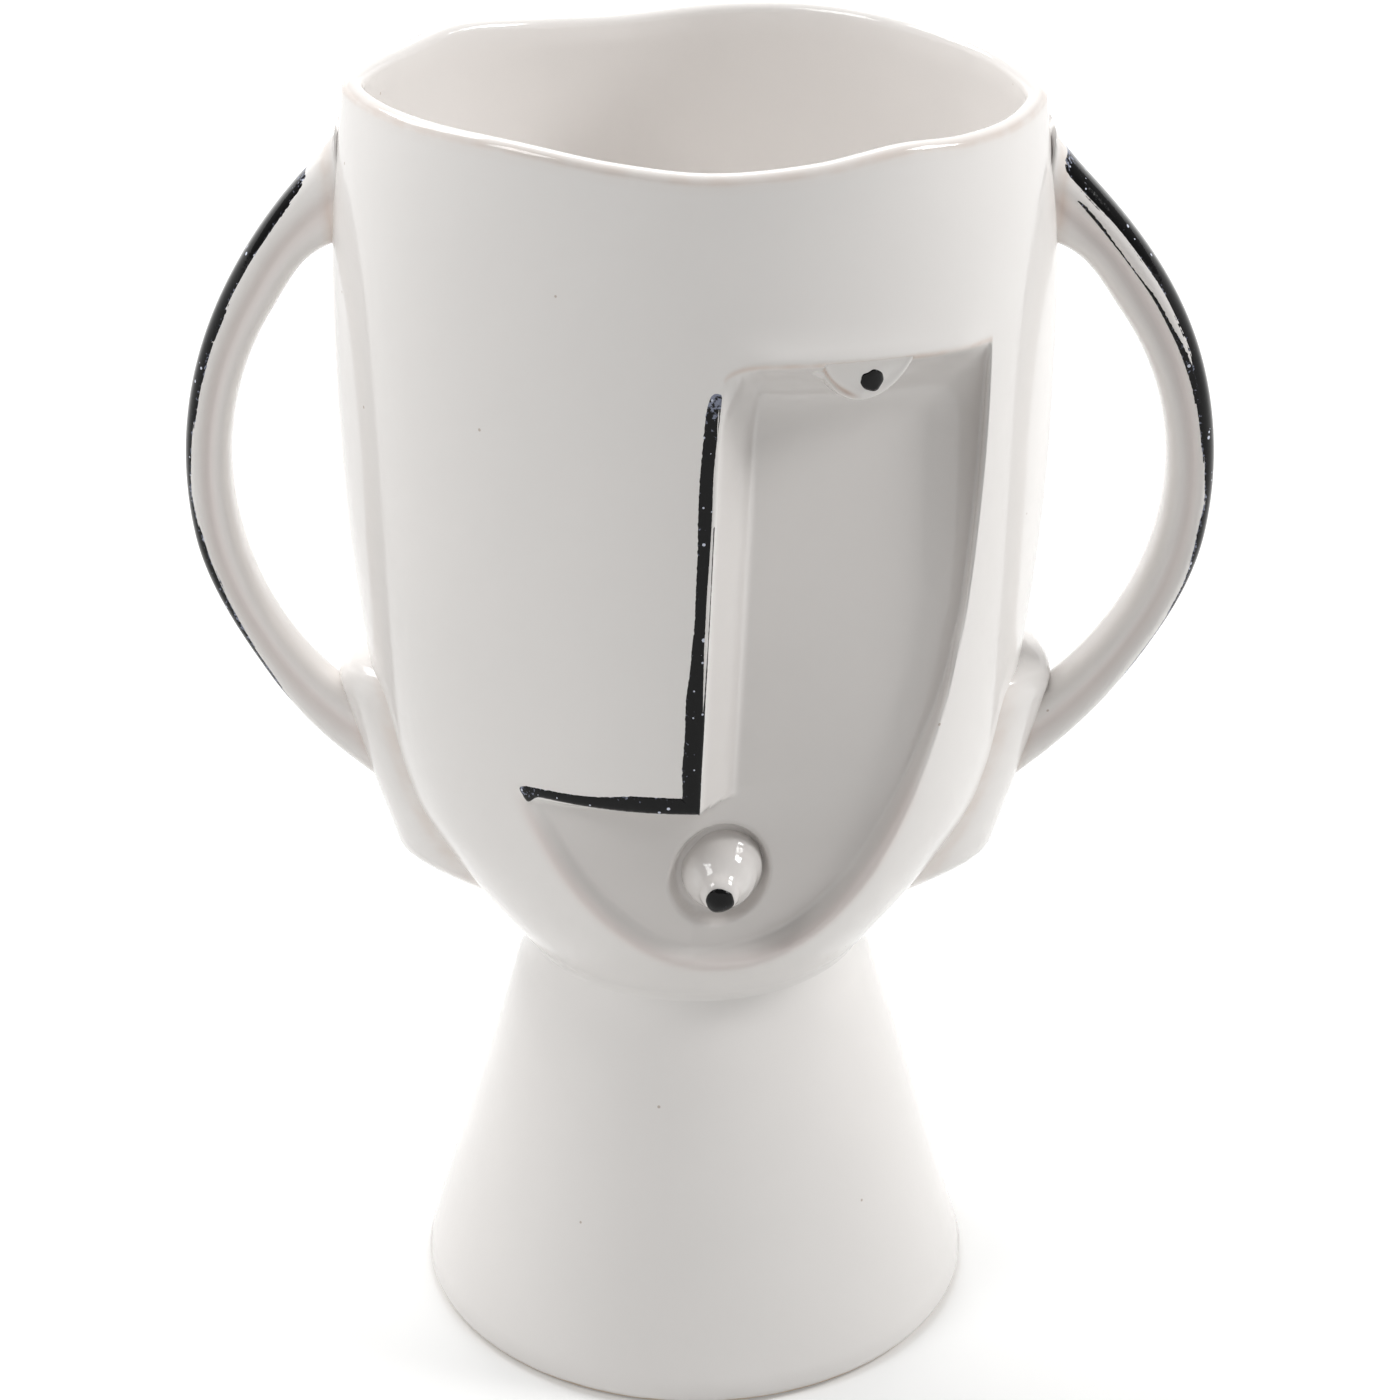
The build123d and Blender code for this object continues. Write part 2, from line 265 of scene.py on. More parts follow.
def white_glaze(name, bare_below=None):
    """Fired tin-white glaze on stoneware. Below a height in millimetres the clay is bare."""
    material, tree, place = new_finish(name)

    # Patches of slightly greyer glaze, about 45 mm apart
    colour = mixed(tree, clouds(tree, place, 45, 2.0), linear("#F5F1EE"), linear("#EFECE9"))
    # Painted shade that greys the sunken half of the face
    colour = mixed(tree, painted(tree, RECESS_SHADE), colour, linear("#B9B2AE"))
    # Rose blush in grooves where the melt ran together
    colour = mixed(tree, painted(tree, BLUSH), colour, linear("#D6BDB6"))
    # Thin glaze over edges, broken up so that the tan line isn't even
    breaks = clouds(tree, place, 7, 2.0)
    thin = reckoned(tree, "MULTIPLY", painted(tree, THIN_GLAZE), mapped(tree, breaks, 0.35, 0.6, 0.45, 1.0))
    colour = mixed(tree, thin, colour, linear("#CDA88C"))
    # Iron grains from the clay, under a millimetre wide and several centimetres apart
    grain = mapped(tree, cells(tree, place, 14).outputs["Distance"], 0.022, 0.03, 0.55, 0.0)
    colour = mixed(tree, grain, colour, linear("#A58A74"))

    # Roughness wanders a little with the melt
    roughness = mapped(tree, clouds(tree, place, 18, 1.0), 0.3, 0.7, 0.07, 0.12)
    # Orange peel about 1.6 mm across on gentle 14 mm waves of the hand
    waves = raised(tree, clouds(tree, place, 14, 1.0), 0.25, 0.25)
    skin = raised(tree, clouds(tree, place, 1.6, 1.0), 0.25, 0.05, Normal=waves)

    if bare_below is not None:
        # The foot is wiped clean of glaze before firing, so a dull tan line of clay shows
        bare = bare_share(tree, place, breaks, bare_below)
        colour = mixed(tree, bare, colour, linear("#C9B49B"))
        roughness = reckoned(tree, "ADD", roughness, mapped(tree, bare, 0.0, 1.0, 0.0, 0.6))
    set_shader(tree, colour, roughness, skin, GLAZE_IOR)
    return material


glaze = white_glaze("tin_white_glaze_fired")
foot_glaze = white_glaze("tin_white_glaze_with_bare_foot", BARE_FOOT)
print("glazes", glaze.name, foot_glaze.name)

# %% [markdown]
# ## Black enamel
# The strokes are brushed on in a thick cobalt-black enamel and fired a second time. It lies as a shiny black
# skin with pin-holes where the white shows through, and at thin ends and edges it breaks into a blue-grey
# crust of tiny crystals. How thin the paint is at each point is painted on the strokes as an attribute.

# %% Black enamel material
CRUST = "crust"
ENAMEL_IOR = 1.5
ENAMEL_SHINE = 0.2


def black_enamel(name):
    """Fired cobalt-black enamel with pale pin-holes and a blue-grey crust where it is thin."""
    material, tree, place = new_finish(name)

    # Crystals of the crust, 0.9 mm apart, which show where the paint is thin
    crystals = clouds(tree, place, 0.9, 2.0, 0.6)
    crust = mapped(tree, reckoned(tree, "MULTIPLY_ADD", painted(tree, CRUST), 0.42, crystals), 0.74, 0.86)
    colour = mixed(tree, crust, linear("#0B0B0C"), linear("#8E93A6"))
    # Pin-holes up to 0.9 mm wide, in some cells of a 2 mm net
    net = cells(tree, place, 1.9)
    chance = add_node(tree, "ShaderNodeSeparateColor", {"Color": net.outputs["Color"]}).outputs["Red"]
    hole = reckoned(tree, "LESS_THAN", net.outputs["Distance"], mapped(tree, chance, 0.62, 1.0, 0.0, 0.24))
    colour = mixed(tree, hole, colour, linear("#D6DBEA"))

    roughness = mapped(tree, crust, 0.0, 1.0, 0.07, 0.5)
    skin = raised(tree, crystals, 0.35, 0.06)
    shader = set_shader(tree, colour, roughness, skin, ENAMEL_IOR)
    shader.inputs["Specular IOR Level"].default_value = ENAMEL_SHINE
    return material


enamel = black_enamel("cobalt_black_enamel_fired")
print("enamel", enamel.name)

# %% [markdown]
# ## The head's plan and height
# On each level the front of the head is a flat arc and the back a rounder one. They meet at the ears in a
# soft corner. The widths and depths were taken level by level, and smooth curves join them.

# %% The head as a formula
RIM_HEIGHT = corner_of("head_bowl", 1).z
NECK_HEIGHT = corner_of("head_bowl", 0).z
NECK_RADIUS = 40.6
WALL = 4.8
BACK_FLATTENING = 2.0
FLATTENING_OVER = 16.0
CORNER_SPREAD = radians(2.6)

# Height, half width across the ears and depth to the front
HEAD_LEVELS = (
    (NECK_HEIGHT, NECK_RADIUS, NECK_RADIUS),
    (101.0, 45.0, 43.2),
    (112.0, 54.4, 48.8),
    (123.0, 62.3, 53.2),
    (135.0, 69.0, 56.6),
    (155.0, 74.3, 59.4),
    (180.0, 77.8, 61.2),
    (210.0, 80.0, 62.2),
    (240.0, 80.5, 62.5),
    (270.0, 79.6, 61.8),
    (RIM_HEIGHT, 76.0, 60.0),
)
HALF_WIDTHS = [(height, half_width) for height, half_width, front in HEAD_LEVELS]
FRONTS = [(height, front) for height, half_width, front in HEAD_LEVELS]


def arc_of(half_width, depth):
    """Radius of the arc over the two ears with this depth, and how far its centre lies beyond them."""
    radius = (half_width**2 + depth**2) / (2 * depth)
    return radius, radius - depth


def back_depth(height, half_width):
    """Depth of the head behind the ears: round at the neck, a little flatter above."""
    return half_width - BACK_FLATTENING * soft_step((height - NECK_HEIGHT) / FLATTENING_OVER)


def head_radius(turn, height):
    """Distance from the axis to the head's outside, at a turn from the front in radians."""
    half_width = smooth_through(HALF_WIDTHS, height)
    front_arc = arc_of(half_width, smooth_through(FRONTS, height))
    back_arc = arc_of(half_width, back_depth(height, half_width))
    total = 0.0
    for i in range(-2, 3):
        angle = turn + i * CORNER_SPREAD / 2
        radius, beyond = front_arc if cos(angle) > 0 else back_arc
        total += sqrt(radius**2 - (beyond * sin(angle)) ** 2) - beyond * abs(cos(angle))
    return total / 5


def front_y(x, height):
    """Y of the head's front before the face is pressed in."""
    radius, beyond = arc_of(smooth_through(HALF_WIDTHS, height), smooth_through(FRONTS, height))
    return beyond - sqrt(radius**2 - x**2)


def side_x(y, height):
    """X of the head's right side, y from the ears."""
    half_width = smooth_through(HALF_WIDTHS, height)
    depth = smooth_through(FRONTS, height) if y < 0 else back_depth(height, half_width)
    radius, beyond = arc_of(half_width, depth)
    return sqrt(radius**2 - (abs(y) + beyond) ** 2)


print("head width at the temples", round(2 * head_radius(pi / 2, 240.0), 1), "mm")

# %% [markdown]
# ## The pressed-in half of the face
# The right half of the face, and the part below the nose, lie deeper than the rest. A brow ledge closes the
# hollow above, the nose's sloped flank on the left, and a soft oval border runs round the cheek and chin.
# These lines come first, as formulas of x and height.

# %% The edges of the face
BROW_HEIGHT = 260.2
BROW_FALL = 4.7
BROW_END_X = 63.0
BROW_BEND = 1.3
BROW_SLOPE = 20.0
CRISP_CORNER = 0.05
BROW_CORNER_WIDTH = 9.0
BROW_CORNER_DROP = 4.5
BROW_RIDGE = 0.9
RIDGE_ABOVE_EDGE = 1.2
RIDGE_WIDTH = 3.6
NOSE_TOP_X = 5.7
NOSE_TIP_X = 1.0
NOSE_BASE = 155.0
BORDER_MIDDLE_X = 5.0
BORDER_TOP = 253.0
BORDER_BOTTOM = 108.2
BORDER_RIGHT = 57.8
BORDER_RIGHT_POWER = 2.3
BORDER_LEFT = 61.2
BORDER_LEFT_POWER = 2.0


def nose_x(height):
    """X of the nose's edge at a height."""
    return NOSE_TIP_X + (NOSE_TOP_X - NOSE_TIP_X) * (height - NOSE_BASE) / (BROW_HEIGHT - NOSE_BASE)


def brow_line(x):
    """Height of the brow's edge."""
    return BROW_HEIGHT - BROW_FALL * clamp((x - NOSE_TOP_X) / (BROW_END_X - NOSE_TOP_X)) ** BROW_BEND


def corner_drop(from_nose):
    """How much lower the brow's edge lies in its rounded corner with the nose."""
    return BROW_CORNER_DROP * (1 - sqrt(1 - (1 - clamp(from_nose / BROW_CORNER_WIDTH)) ** 2))


def brow_share(below):
    """Share of the floor's depth at a distance below the brow: a crisp edge, then a slope that eases off."""
    down = soft_ramp(below / BROW_SLOPE, CRISP_CORNER)
    return 1 - (1 - down) ** 2


def brow_ridge(x, height):
    """How far the brow's rounded ridge stands out above its edge."""
    ends = soft_step((x - NOSE_TOP_X + 2.0) / 12.0) * soft_step((BROW_END_X - x) / 8.0)
    return BROW_RIDGE * ends * bump(height - brow_line(x) - RIDGE_ABOVE_EDGE, RIDGE_WIDTH)


def inside_border(x, height):
    """How far a point lies inside the oval border, in millimetres."""
    width, power = (BORDER_LEFT, BORDER_LEFT_POWER)
    if x > BORDER_MIDDLE_X:
        width, power = (BORDER_RIGHT, BORDER_RIGHT_POWER)
    drop = BORDER_TOP - BORDER_BOTTOM
    across = abs(x - BORDER_MIDDLE_X) / width
    down = max(BORDER_TOP - height, 0.0) / drop
    steepness = power * hypot(across ** (power - 1) / width, down ** (power - 1) / drop)
    return (1 - across**power - down**power) / max(steepness, 1 / drop)


def border_x(height):
    """X of the border's right side at a height."""
    down = clamp((BORDER_TOP - height) / (BORDER_TOP - BORDER_BOTTOM))
    return BORDER_MIDDLE_X + BORDER_RIGHT * (1 - down**BORDER_RIGHT_POWER) ** (1 / BORDER_RIGHT_POWER)


print("nose leans by", NOSE_TOP_X - NOSE_TIP_X, "mm, border ends at x", round(border_x(BORDER_TOP), 1))

# %% [markdown]
# ## How deep the face is
# The depth at a point is the floor's depth times one soft ramp for each edge round it. The border is steep at
# the top right and soft towards the chin. The mouth's oval dish and the eye's seat are pressed in further.

# %% The depth of the face
NOSE_FLANK = 8.5
NOSE_BASE_RAMP = 2.2
BORDER_STEEP_RAMP = 0.6
BORDER_SOFT_RAMP = 5.5
SOFT_LEFT_OF = 34.0
SOFT_LEFT_OVER = 26.0
SOFT_BELOW = 185.0
SOFT_BELOW_OVER = 55.0
NOSE_DEPTH = 11.0
CHIN_DEPTH = 2.6
RIGHT_DEPTH = 5.0
RIGHT_TOP_DEPTH = 7.0
RIGHT_DEEPENS_FROM = 190.0
RIGHT_DEEPENS_OVER = 50.0
LEFT_DEPTH = 1.6
LEFT_REACH = 36.0
LEAST_FLOOR = 4.0
MOUTH = (5.5, 133.0)
DISH_RADIUS = 11.5
DISH_TALLNESS = 1.17
DISH_WALL = 1.6
DISH_ROUNDING = 0.12
DISH_DEPTH = 3.4
EYE_X = 35.9
EYE_HALF_WIDTH = 9.3
EYE_DROP = 8.0
EYE_TILT = 2.6
EYE_ROUNDNESS = 0.85
EYE_POCKET = 1.6
EYE_POCKET_RAMP = 1.2


def floor_depth(x, height):
    """Depth of the pressed-in floor behind the head's front. On the right it is flat from nose to border."""
    up = clamp((height - BORDER_BOTTOM) / (NOSE_BASE - BORDER_BOTTOM))
    middle = CHIN_DEPTH + (NOSE_DEPTH - CHIN_DEPTH) * up
    edge = nose_x(height)
    if x > edge:
        end = max(border_x(height), edge + LEAST_FLOOR)
        across = clamp((x - edge) / (end - edge))
        deep = front_y(edge, height) + middle
        deepened = soft_step((height - RIGHT_DEEPENS_FROM) / RIGHT_DEEPENS_OVER)
        right = RIGHT_DEPTH + (RIGHT_TOP_DEPTH - RIGHT_DEPTH) * deepened
        flat = deep + (front_y(end, height) + right - deep) * across
        return flat - front_y(min(x, end), height)
    return middle + (LEFT_DEPTH - middle) * clamp((edge - x) / LEFT_REACH)


def pressed_depth(x, height, grow=0.0):
    """How far the face is pressed in. The inside of the wall follows it, grown by the wall."""
    from_nose = x - nose_x(height) + grow
    brow = brow_share(brow_line(x) - corner_drop(from_nose) + grow - height)
    flank = 1 - (1 - soft_ramp(from_nose / NOSE_FLANK, CRISP_CORNER)) ** 1.5
    under_nose = soft_ramp((NOSE_BASE + grow - height) / NOSE_BASE_RAMP)
    soft_left = soft_step((SOFT_LEFT_OF - x) / SOFT_LEFT_OVER)
    softness = max(soft_left, soft_step((SOFT_BELOW - height) / SOFT_BELOW_OVER))
    ramp = BORDER_STEEP_RAMP + (BORDER_SOFT_RAMP - BORDER_STEEP_RAMP) * softness
    border = soft_step((inside_border(x, height) + grow) / ramp)
    if brow * border == 0.0:
        return 0.0
    return floor_depth(x, height) * brow * border * max(flank, under_nose)


def dish_hollow(x, height, grow=0.0):
    """Depth of the mouth's oval dish, with a rounded wall."""
    away = hypot(x - MOUTH[0], (height - MOUTH[1]) / DISH_TALLNESS)
    return DISH_DEPTH * soft_ramp((DISH_RADIUS + grow - away) / DISH_WALL, DISH_ROUNDING)


def face_y(x, height):
    """Y of the finished face."""
    return front_y(x, height) + pressed_depth(x, height) + dish_hollow(x, height)


def eye_inside(x, height):
    """How far a point lies above the lower edge of the eye's almond."""
    across = (x - EYE_X) / EYE_HALF_WIDTH
    edge = brow_line(x) - EYE_TILT * (1 - across) / 2
    if abs(across) < 1:
        return height - edge + EYE_DROP * (1 - across**2) ** EYE_ROUNDNESS
    return height - edge - (abs(across) - 1) * EYE_HALF_WIDTH


def eye_pocket(x, height, grow=0.0):
    """Depth of the seat that the eye's tab is set in."""
    if grow > 0 or abs(x - EYE_X) > EYE_HALF_WIDTH or height > brow_line(x):
        return 0.0
    return EYE_POCKET * soft_step(eye_inside(x, height) / EYE_POCKET_RAMP)


print("floor behind the nose", round(pressed_depth(20.0, 200.0), 1), "mm deep")

# %% [markdown]
# ## The head bowl
# The bowl could be lofted, but a potter's form is best thrown: one closed wall profile is spun round the
# axis. Spinning gives even columns, which are then gathered on the face, where the relief needs them. The
# rings lie closest at the brow and the chin.

# %% Spin the wall of the head
HEAD_COLUMNS = 390
FACE_COLUMNS = 215
FACE_FROM = -42.0
FACE_TO = 66.0
LIP_STEPS = 9
INNER_STEP = 5.0

# From this height, to this height, in rings this far apart
RING_STEPS = (
    (NECK_HEIGHT, 112.0, 1.6),
    (112.0, 158.0, 0.8),
    (158.0, 250.0, 1.75),
    (250.0, 264.0, 0.5),
    (264.0, RIM_HEIGHT - WALL / 2, 1.9),
)

# The uneven lip: how much higher it lies in a direction, in degrees from +X. It starts on the right and goes
# round the back, the left and the front.
LIP_LINE = [
    *((0.0, 0.2), (40.0, 0.9), (66.0, 1.9), (84.0, 0.8), (104.0, -1.5), (120.0, -0.5), (139.0, 2.0)),
    *((154.0, 1.2), (175.0, 2.1), (222.0, 3.5), (236.0, 3.2), (254.0, 1.2), (273.0, -0.5), (294.0, 0.3)),
    *((312.0, 2.0), (328.0, 0.4), (345.0, -0.5), (360.0, 0.2)),
]


def wall_inset(height):
    """Level thickness of the wall, more where the wall slopes."""
    slope = (smooth_through(HALF_WIDTHS, height + 1) - smooth_through(HALF_WIDTHS, height - 1)) / 2
    return WALL * hypot(1.0, min(slope, 1.0))


def head_profile():
    """Points (radius, height) once round the wall: up the outside, over the lip and down the inside."""
    outside = []
    for low, high, step in RING_STEPS:
        count = round((high - low) / step)
        outside += [low + (high - low) * i / count for i in range(count)]
    points = [(smooth_through(HALF_WIDTHS, height), height) for height in outside]
    lip_height = RIM_HEIGHT - WALL / 2
    lip_radius = smooth_through(HALF_WIDTHS, lip_height) - WALL / 2
    for i in range(LIP_STEPS + 1):
        angle = pi * i / LIP_STEPS
        points.append((lip_radius + WALL / 2 * cos(angle), lip_height + WALL / 2 * sin(angle)))
    inner_count = round((lip_height - NECK_HEIGHT) / INNER_STEP)
    for i in range(1, inner_count + 1):
        height = lip_height + (NECK_HEIGHT - lip_height) * i / inner_count
        points.append((smooth_through(HALF_WIDTHS, height) - wall_inset(height), height))
    return points


def gathered_turn(spun):
    """Turn from the front of a column that was spun evenly from the back."""
    left_share = (FACE_FROM + 180.0) / (360.0 - FACE_TO + FACE_FROM)
    left_columns = round((HEAD_COLUMNS - FACE_COLUMNS) * left_share)
    column = spun / 360.0 * HEAD_COLUMNS
    if column < left_columns:
        return -180.0 + (FACE_FROM + 180.0) * column / left_columns
    column -= left_columns
    if column < FACE_COLUMNS:
        return FACE_FROM + (FACE_TO - FACE_FROM) * column / FACE_COLUMNS
    column -= FACE_COLUMNS
    return FACE_TO + (180.0 - FACE_TO) * column / (HEAD_COLUMNS - FACE_COLUMNS - left_columns)


def lip_wave(x, y):
    """How much higher the uneven lip lies in a direction."""
    return smooth_through(LIP_LINE, degrees(atan2(y, x)) % 360.0)


def spin_ring(bm, points, steps, closed=True):
    """Spins a profile of (radius, height) points once round the Z axis."""
    verts = [bm.verts.new((0.0, radius, height)) for radius, height in points]
    following = verts[1:] + verts[:1] if closed else verts[1:]
    edges = [bm.edges.new(pair) for pair in zip(verts, following)]
    whole = verts + edges
    bmesh.ops.spin(
        bm, geom=whole, cent=(0, 0, 0), axis=(0, 0, 1), angle=2 * pi, steps=steps, use_merge=True
    )


head = bmesh.new()
spin_ring(head, head_profile(), HEAD_COLUMNS)
print("head spun with", len(head.verts), "vertices")

# %% [markdown]
# ## Shape the head
# Each vertex keeps its level and its depth in the wall, and only its place on the plan changes. Rings beside
# the brow follow its slope, and columns beside the nose and the border follow their edges, so these edges
# stay clean lines. Then the face is pressed in and the lip gets its uneven line.

# %% Places on the head
NOSE_GATHER = 16.0
BORDER_GATHER = 18.0
BORDER_COLUMN = 0.783
BORDER_GATHER_FROM = 115.0
BORDER_GATHER_FULL = 135.0
SIDE_KEPT = 3.0
BROW_GATHER = 7.0
LIP_WAVE_FROM = 250.0
SEAM_CALM = 20.0
WOBBLE = 0.3
WOBBLE_SIZE = 38.0


def wobble(place):
    """Slow unevenness of a form made by hand, in millimetres."""
    return WOBBLE * noise.noise(place / WOBBLE_SIZE)


def gathered_x(x, height):
    """X of a column that is led to the nose's edge and to the border beside it."""
    middle = (NOSE_TOP_X + NOSE_TIP_X) / 2
    lean = nose_x(min(height, BROW_HEIGHT)) - middle
    x += lean * bump(x - middle, NOSE_GATHER)
    half_width = smooth_through(HALF_WIDTHS, height)
    column_x = BORDER_COLUMN * half_width
    drawn_in = min(border_x(min(max(height, BORDER_GATHER_FULL), BORDER_TOP)) - column_x, 0.0)
    drawn_in *= soft_step((height - BORDER_GATHER_FROM) / (BORDER_GATHER_FULL - BORDER_GATHER_FROM))
    if x < column_x:
        return x + drawn_in * bump(x - column_x, BORDER_GATHER)
    side = half_width - SIDE_KEPT
    return x + drawn_in * soft_step((side - x) / (side - column_x))


def head_place(turn, height, inset):
    """Where a point of the spun wall goes: its x, its level on the face, and its place on the vase."""
    outside = inset < WALL / 2
    grow = 0.0 if outside else WALL
    in_front = cos(turn) > 0
    x = (head_radius(turn, height) - inset) * sin(turn)
    if in_front:
        height += (brow_line(x) - BROW_HEIGHT) * bump(height - BROW_HEIGHT, BROW_GATHER)
    reach = head_radius(turn, height) - inset
    x = reach * sin(turn)
    y = -reach * cos(turn)
    if in_front and outside and height < RIM_HEIGHT - WALL:
        x = gathered_x(x, height)
        y = front_y(x, height) if abs(turn) < radians(80.0) else y
        y -= brow_ridge(x, height)
    if in_front:
        y += pressed_depth(x, height, grow) + dish_hollow(x, height, grow) + eye_pocket(x, height, grow)
    rim = soft_step((height - LIP_WAVE_FROM) / (RIM_HEIGHT - LIP_WAVE_FROM))
    place = Vector((x, y, height + rim * lip_wave(x, y)))
    outward = Vector((sin(turn), -cos(turn), 0.0))
    calm_seam = soft_step((height - NECK_HEIGHT) / SEAM_CALM)
    return x, height, place + outward * wobble(place) * calm_seam


print("middle of the face at the mouth's level", [round(c, 1) for c in head_place(0.0, MOUTH[1], 0.0)[2]])

# %% [markdown]
# ## The glaze on the head
# The glaze draws thin on the lip and the brow, so the tan body shows there as a fine line. Along the chin's
# border it has a rose blush, and the sunken half of the face is painted greyer as shade. Each vertex notes
# these three shares while it is moved.

# %% Move the head's vertices
# Share of the painted shade on the sunken floor and at the chin, full where the face is this deep
SHADE_FULL_DEPTH = 2.5
FLOOR_SHADE = 0.3
CHIN_SHADE = 0.4
CHIN_FADE = 20.0

# Share of the tan line on the lip and the brow, and of the blush along the chin's border
LIP_THIN = 0.3
LIP_THIN_BELOW = 1.2
LIP_THIN_WIDTH = 0.9
BROW_THIN = 0.4
BROW_THIN_WIDTH = 0.7
BORDER_BLUSH = 0.3
BLUSH_INSIDE = 1.0
BLUSH_WIDTH = 1.6
BLUSH_TOP = NOSE_BASE + 5.0
BLUSH_FADE = 15.0


def thin_share(x, height, in_front):
    """How thin the glaze is: along the lip and along the brow's edge."""
    lip_edge = LIP_THIN * bump(height - (RIM_HEIGHT - LIP_THIN_BELOW), LIP_THIN_WIDTH)
    if not in_front or not NOSE_TOP_X < x < BROW_END_X:
        return lip_edge
    brow_edge = height - brow_line(x) + corner_drop(x - nose_x(height))
    return max(BROW_THIN * bump(brow_edge, BROW_THIN_WIDTH), lip_edge)


def blush_share(x, height):
    """How rosy the glaze is: along the border below the nose."""
    if height >= BLUSH_TOP:
        return 0.0
    low = soft_step((BLUSH_TOP - height) / BLUSH_FADE)
    return BORDER_BLUSH * low * bump(inside_border(x, height) - BLUSH_INSIDE, BLUSH_WIDTH)


def shade_share(x, height):
    """How much painted shade greys the glaze: on the sunken floor, and more at the chin."""
    chin = soft_step((NOSE_BASE - height) / CHIN_FADE)
    sunk = clamp(pressed_depth(x, height) / SHADE_FULL_DEPTH)
    return sunk * (FLOOR_SHADE + (CHIN_SHADE - FLOOR_SHADE) * chin)


def shape_head(bm):
    """Moves the spun wall to the head's form and notes how the glaze lies."""
    thin_layer = bm.verts.layers.float.new(THIN_GLAZE)
    blush_layer = bm.verts.layers.float.new(BLUSH)
    shade_layer = bm.verts.layers.float.new(RECESS_SHADE)
    for vert in bm.verts:
        inset = smooth_through(HALF_WIDTHS, vert.co.z) - hypot(vert.co.x, vert.co.y)
        spun = degrees(atan2(-vert.co.x, vert.co.y)) % 360.0
        turn = radians(gathered_turn(spun))
        x, height, vert.co = head_place(turn, vert.co.z, inset)
        if inset >= WALL / 2:
            continue
        in_front = cos(turn) > 0
        vert[thin_layer] = thin_share(x, height, in_front)
        if in_front:
            vert[blush_layer] = blush_share(x, height)
            vert[shade_layer] = shade_share(x, height)


def edges_at(bm, height):
    """The edges that lie at a height."""
    return [edge for edge in bm.edges if all(abs(v.co.z - height) < 0.01 for v in edge.verts)]


shape_head(head)
make_piece(head, "head_bowl", glaze, edges_at(head, NECK_HEIGHT))

# %% [markdown]
# ## The pedestal foot
# The foot is a hollow cone with a closed base, thrown apart and luted on at the neck. One profile is spun: up
# the outside from a rounded foot edge, and down the inside to the floor. At the neck it runs upright, as the
# head does, so that the two pieces shade as one.

# %% Spin the pedestal
EDGE_LOSS = 0.98
FOOT_EDGE = 3.0
EDGE_STEPS = 6
BASE_THICKNESS = 7.0
PEDESTAL_STEPS = 128
CONE_STEPS = 24
INSIDE_STEPS = 8
CONE_TOP = 86.0
FOOT_CALM = 12.0

# The cone's line would meet the table a little outside the rounded edge, and ends just under the neck
FOOT_RADIUS = corner_of("pedestal_foot", 1).x + EDGE_LOSS
CONE_END_RADIUS = NECK_RADIUS + 0.3
CONE_END_HEIGHT = NECK_HEIGHT - 3.0


def cone_radius(height):
    """Radius of the foot's outside: a straight cone that turns upright at the neck."""
    slope = (CONE_END_RADIUS - FOOT_RADIUS) / CONE_END_HEIGHT
    straight = FOOT_RADIUS + slope * height
    turned = soft_step((height - CONE_TOP) / (NECK_HEIGHT - CONE_TOP))
    return straight + (NECK_RADIUS - straight) * turned


def pedestal_profile():
    """Points (radius, height) of the foot's wall and base, from under the base round to the inside."""
    points = [(0.0, 0.0), (FOOT_RADIUS * 0.5, 0.0)]
    edge_centre = cone_radius(FOOT_EDGE) - FOOT_EDGE
    for i in range(EDGE_STEPS + 1):
        angle = pi / 2 * i / EDGE_STEPS
        points.append((edge_centre + FOOT_EDGE * sin(angle), FOOT_EDGE * (1 - cos(angle))))
    for i in range(1, CONE_STEPS + 1):
        height = FOOT_EDGE + (NECK_HEIGHT - FOOT_EDGE) * i / CONE_STEPS
        points.append((cone_radius(height), height))
    for i in range(INSIDE_STEPS + 1):
        height = NECK_HEIGHT + (BASE_THICKNESS - NECK_HEIGHT) * i / INSIDE_STEPS
        points.append((cone_radius(height) - WALL, height))
    points.append((0.0, BASE_THICKNESS))
    return points


foot = bmesh.new()
spin_ring(foot, pedestal_profile(), PEDESTAL_STEPS)
for vert in foot.verts:
    free = soft_step(vert.co.z / FOOT_CALM) * soft_step((NECK_HEIGHT - vert.co.z) / SEAM_CALM)
    outward = Vector((vert.co.x, vert.co.y, 0.0)).normalized()
    vert.co += outward * wobble(vert.co) * free
bmesh.ops.remove_doubles(foot, verts=foot.verts, dist=MERGE_DISTANCE)
foot_seams = edges_at(foot, NECK_HEIGHT) + edges_at(foot, BASE_THICKNESS)
make_piece(foot, "pedestal_foot", foot_glaze, foot_seams)

# %% [markdown]
# ## The handles as a formula
# Each handle is a bar pulled from clay and bent to a crescent between two arcs, thicker at its roots. Its
# section is a rounded block with a soft groove down the front, between an outer and an inner roll.

# %% The bar's section and bend
HANDLE_MIDDLE = 209.0
HANDLE_OUTER_X = 20.5
HANDLE_OUTER_RADIUS = 96.5
HANDLE_INNER_X = 35.5
HANDLE_INNER_RADIUS = 71.1
HANDLE_LEAN = 1.1
LEAN_FROM = 84.0
LEAN_OVER = 30.0

# Small departures of the bar from its two arcs in millimetres, and where they lie in degrees of the bend: the
# outer side is tucked in below and a little flat at the shoulder, and the inner side comes out at the top
HANDLE_TUCK, TUCK_BELOW, TUCK_OVER = 2.5, -8.0, 24.0
SHOULDER_FLAT, SHOULDER_AT, SHOULDER_WIDTH = 0.6, 37.0, 15.0
TOP_THINNING, THIN_ABOVE, THIN_OVER = 1.5, 28.0, 12.0

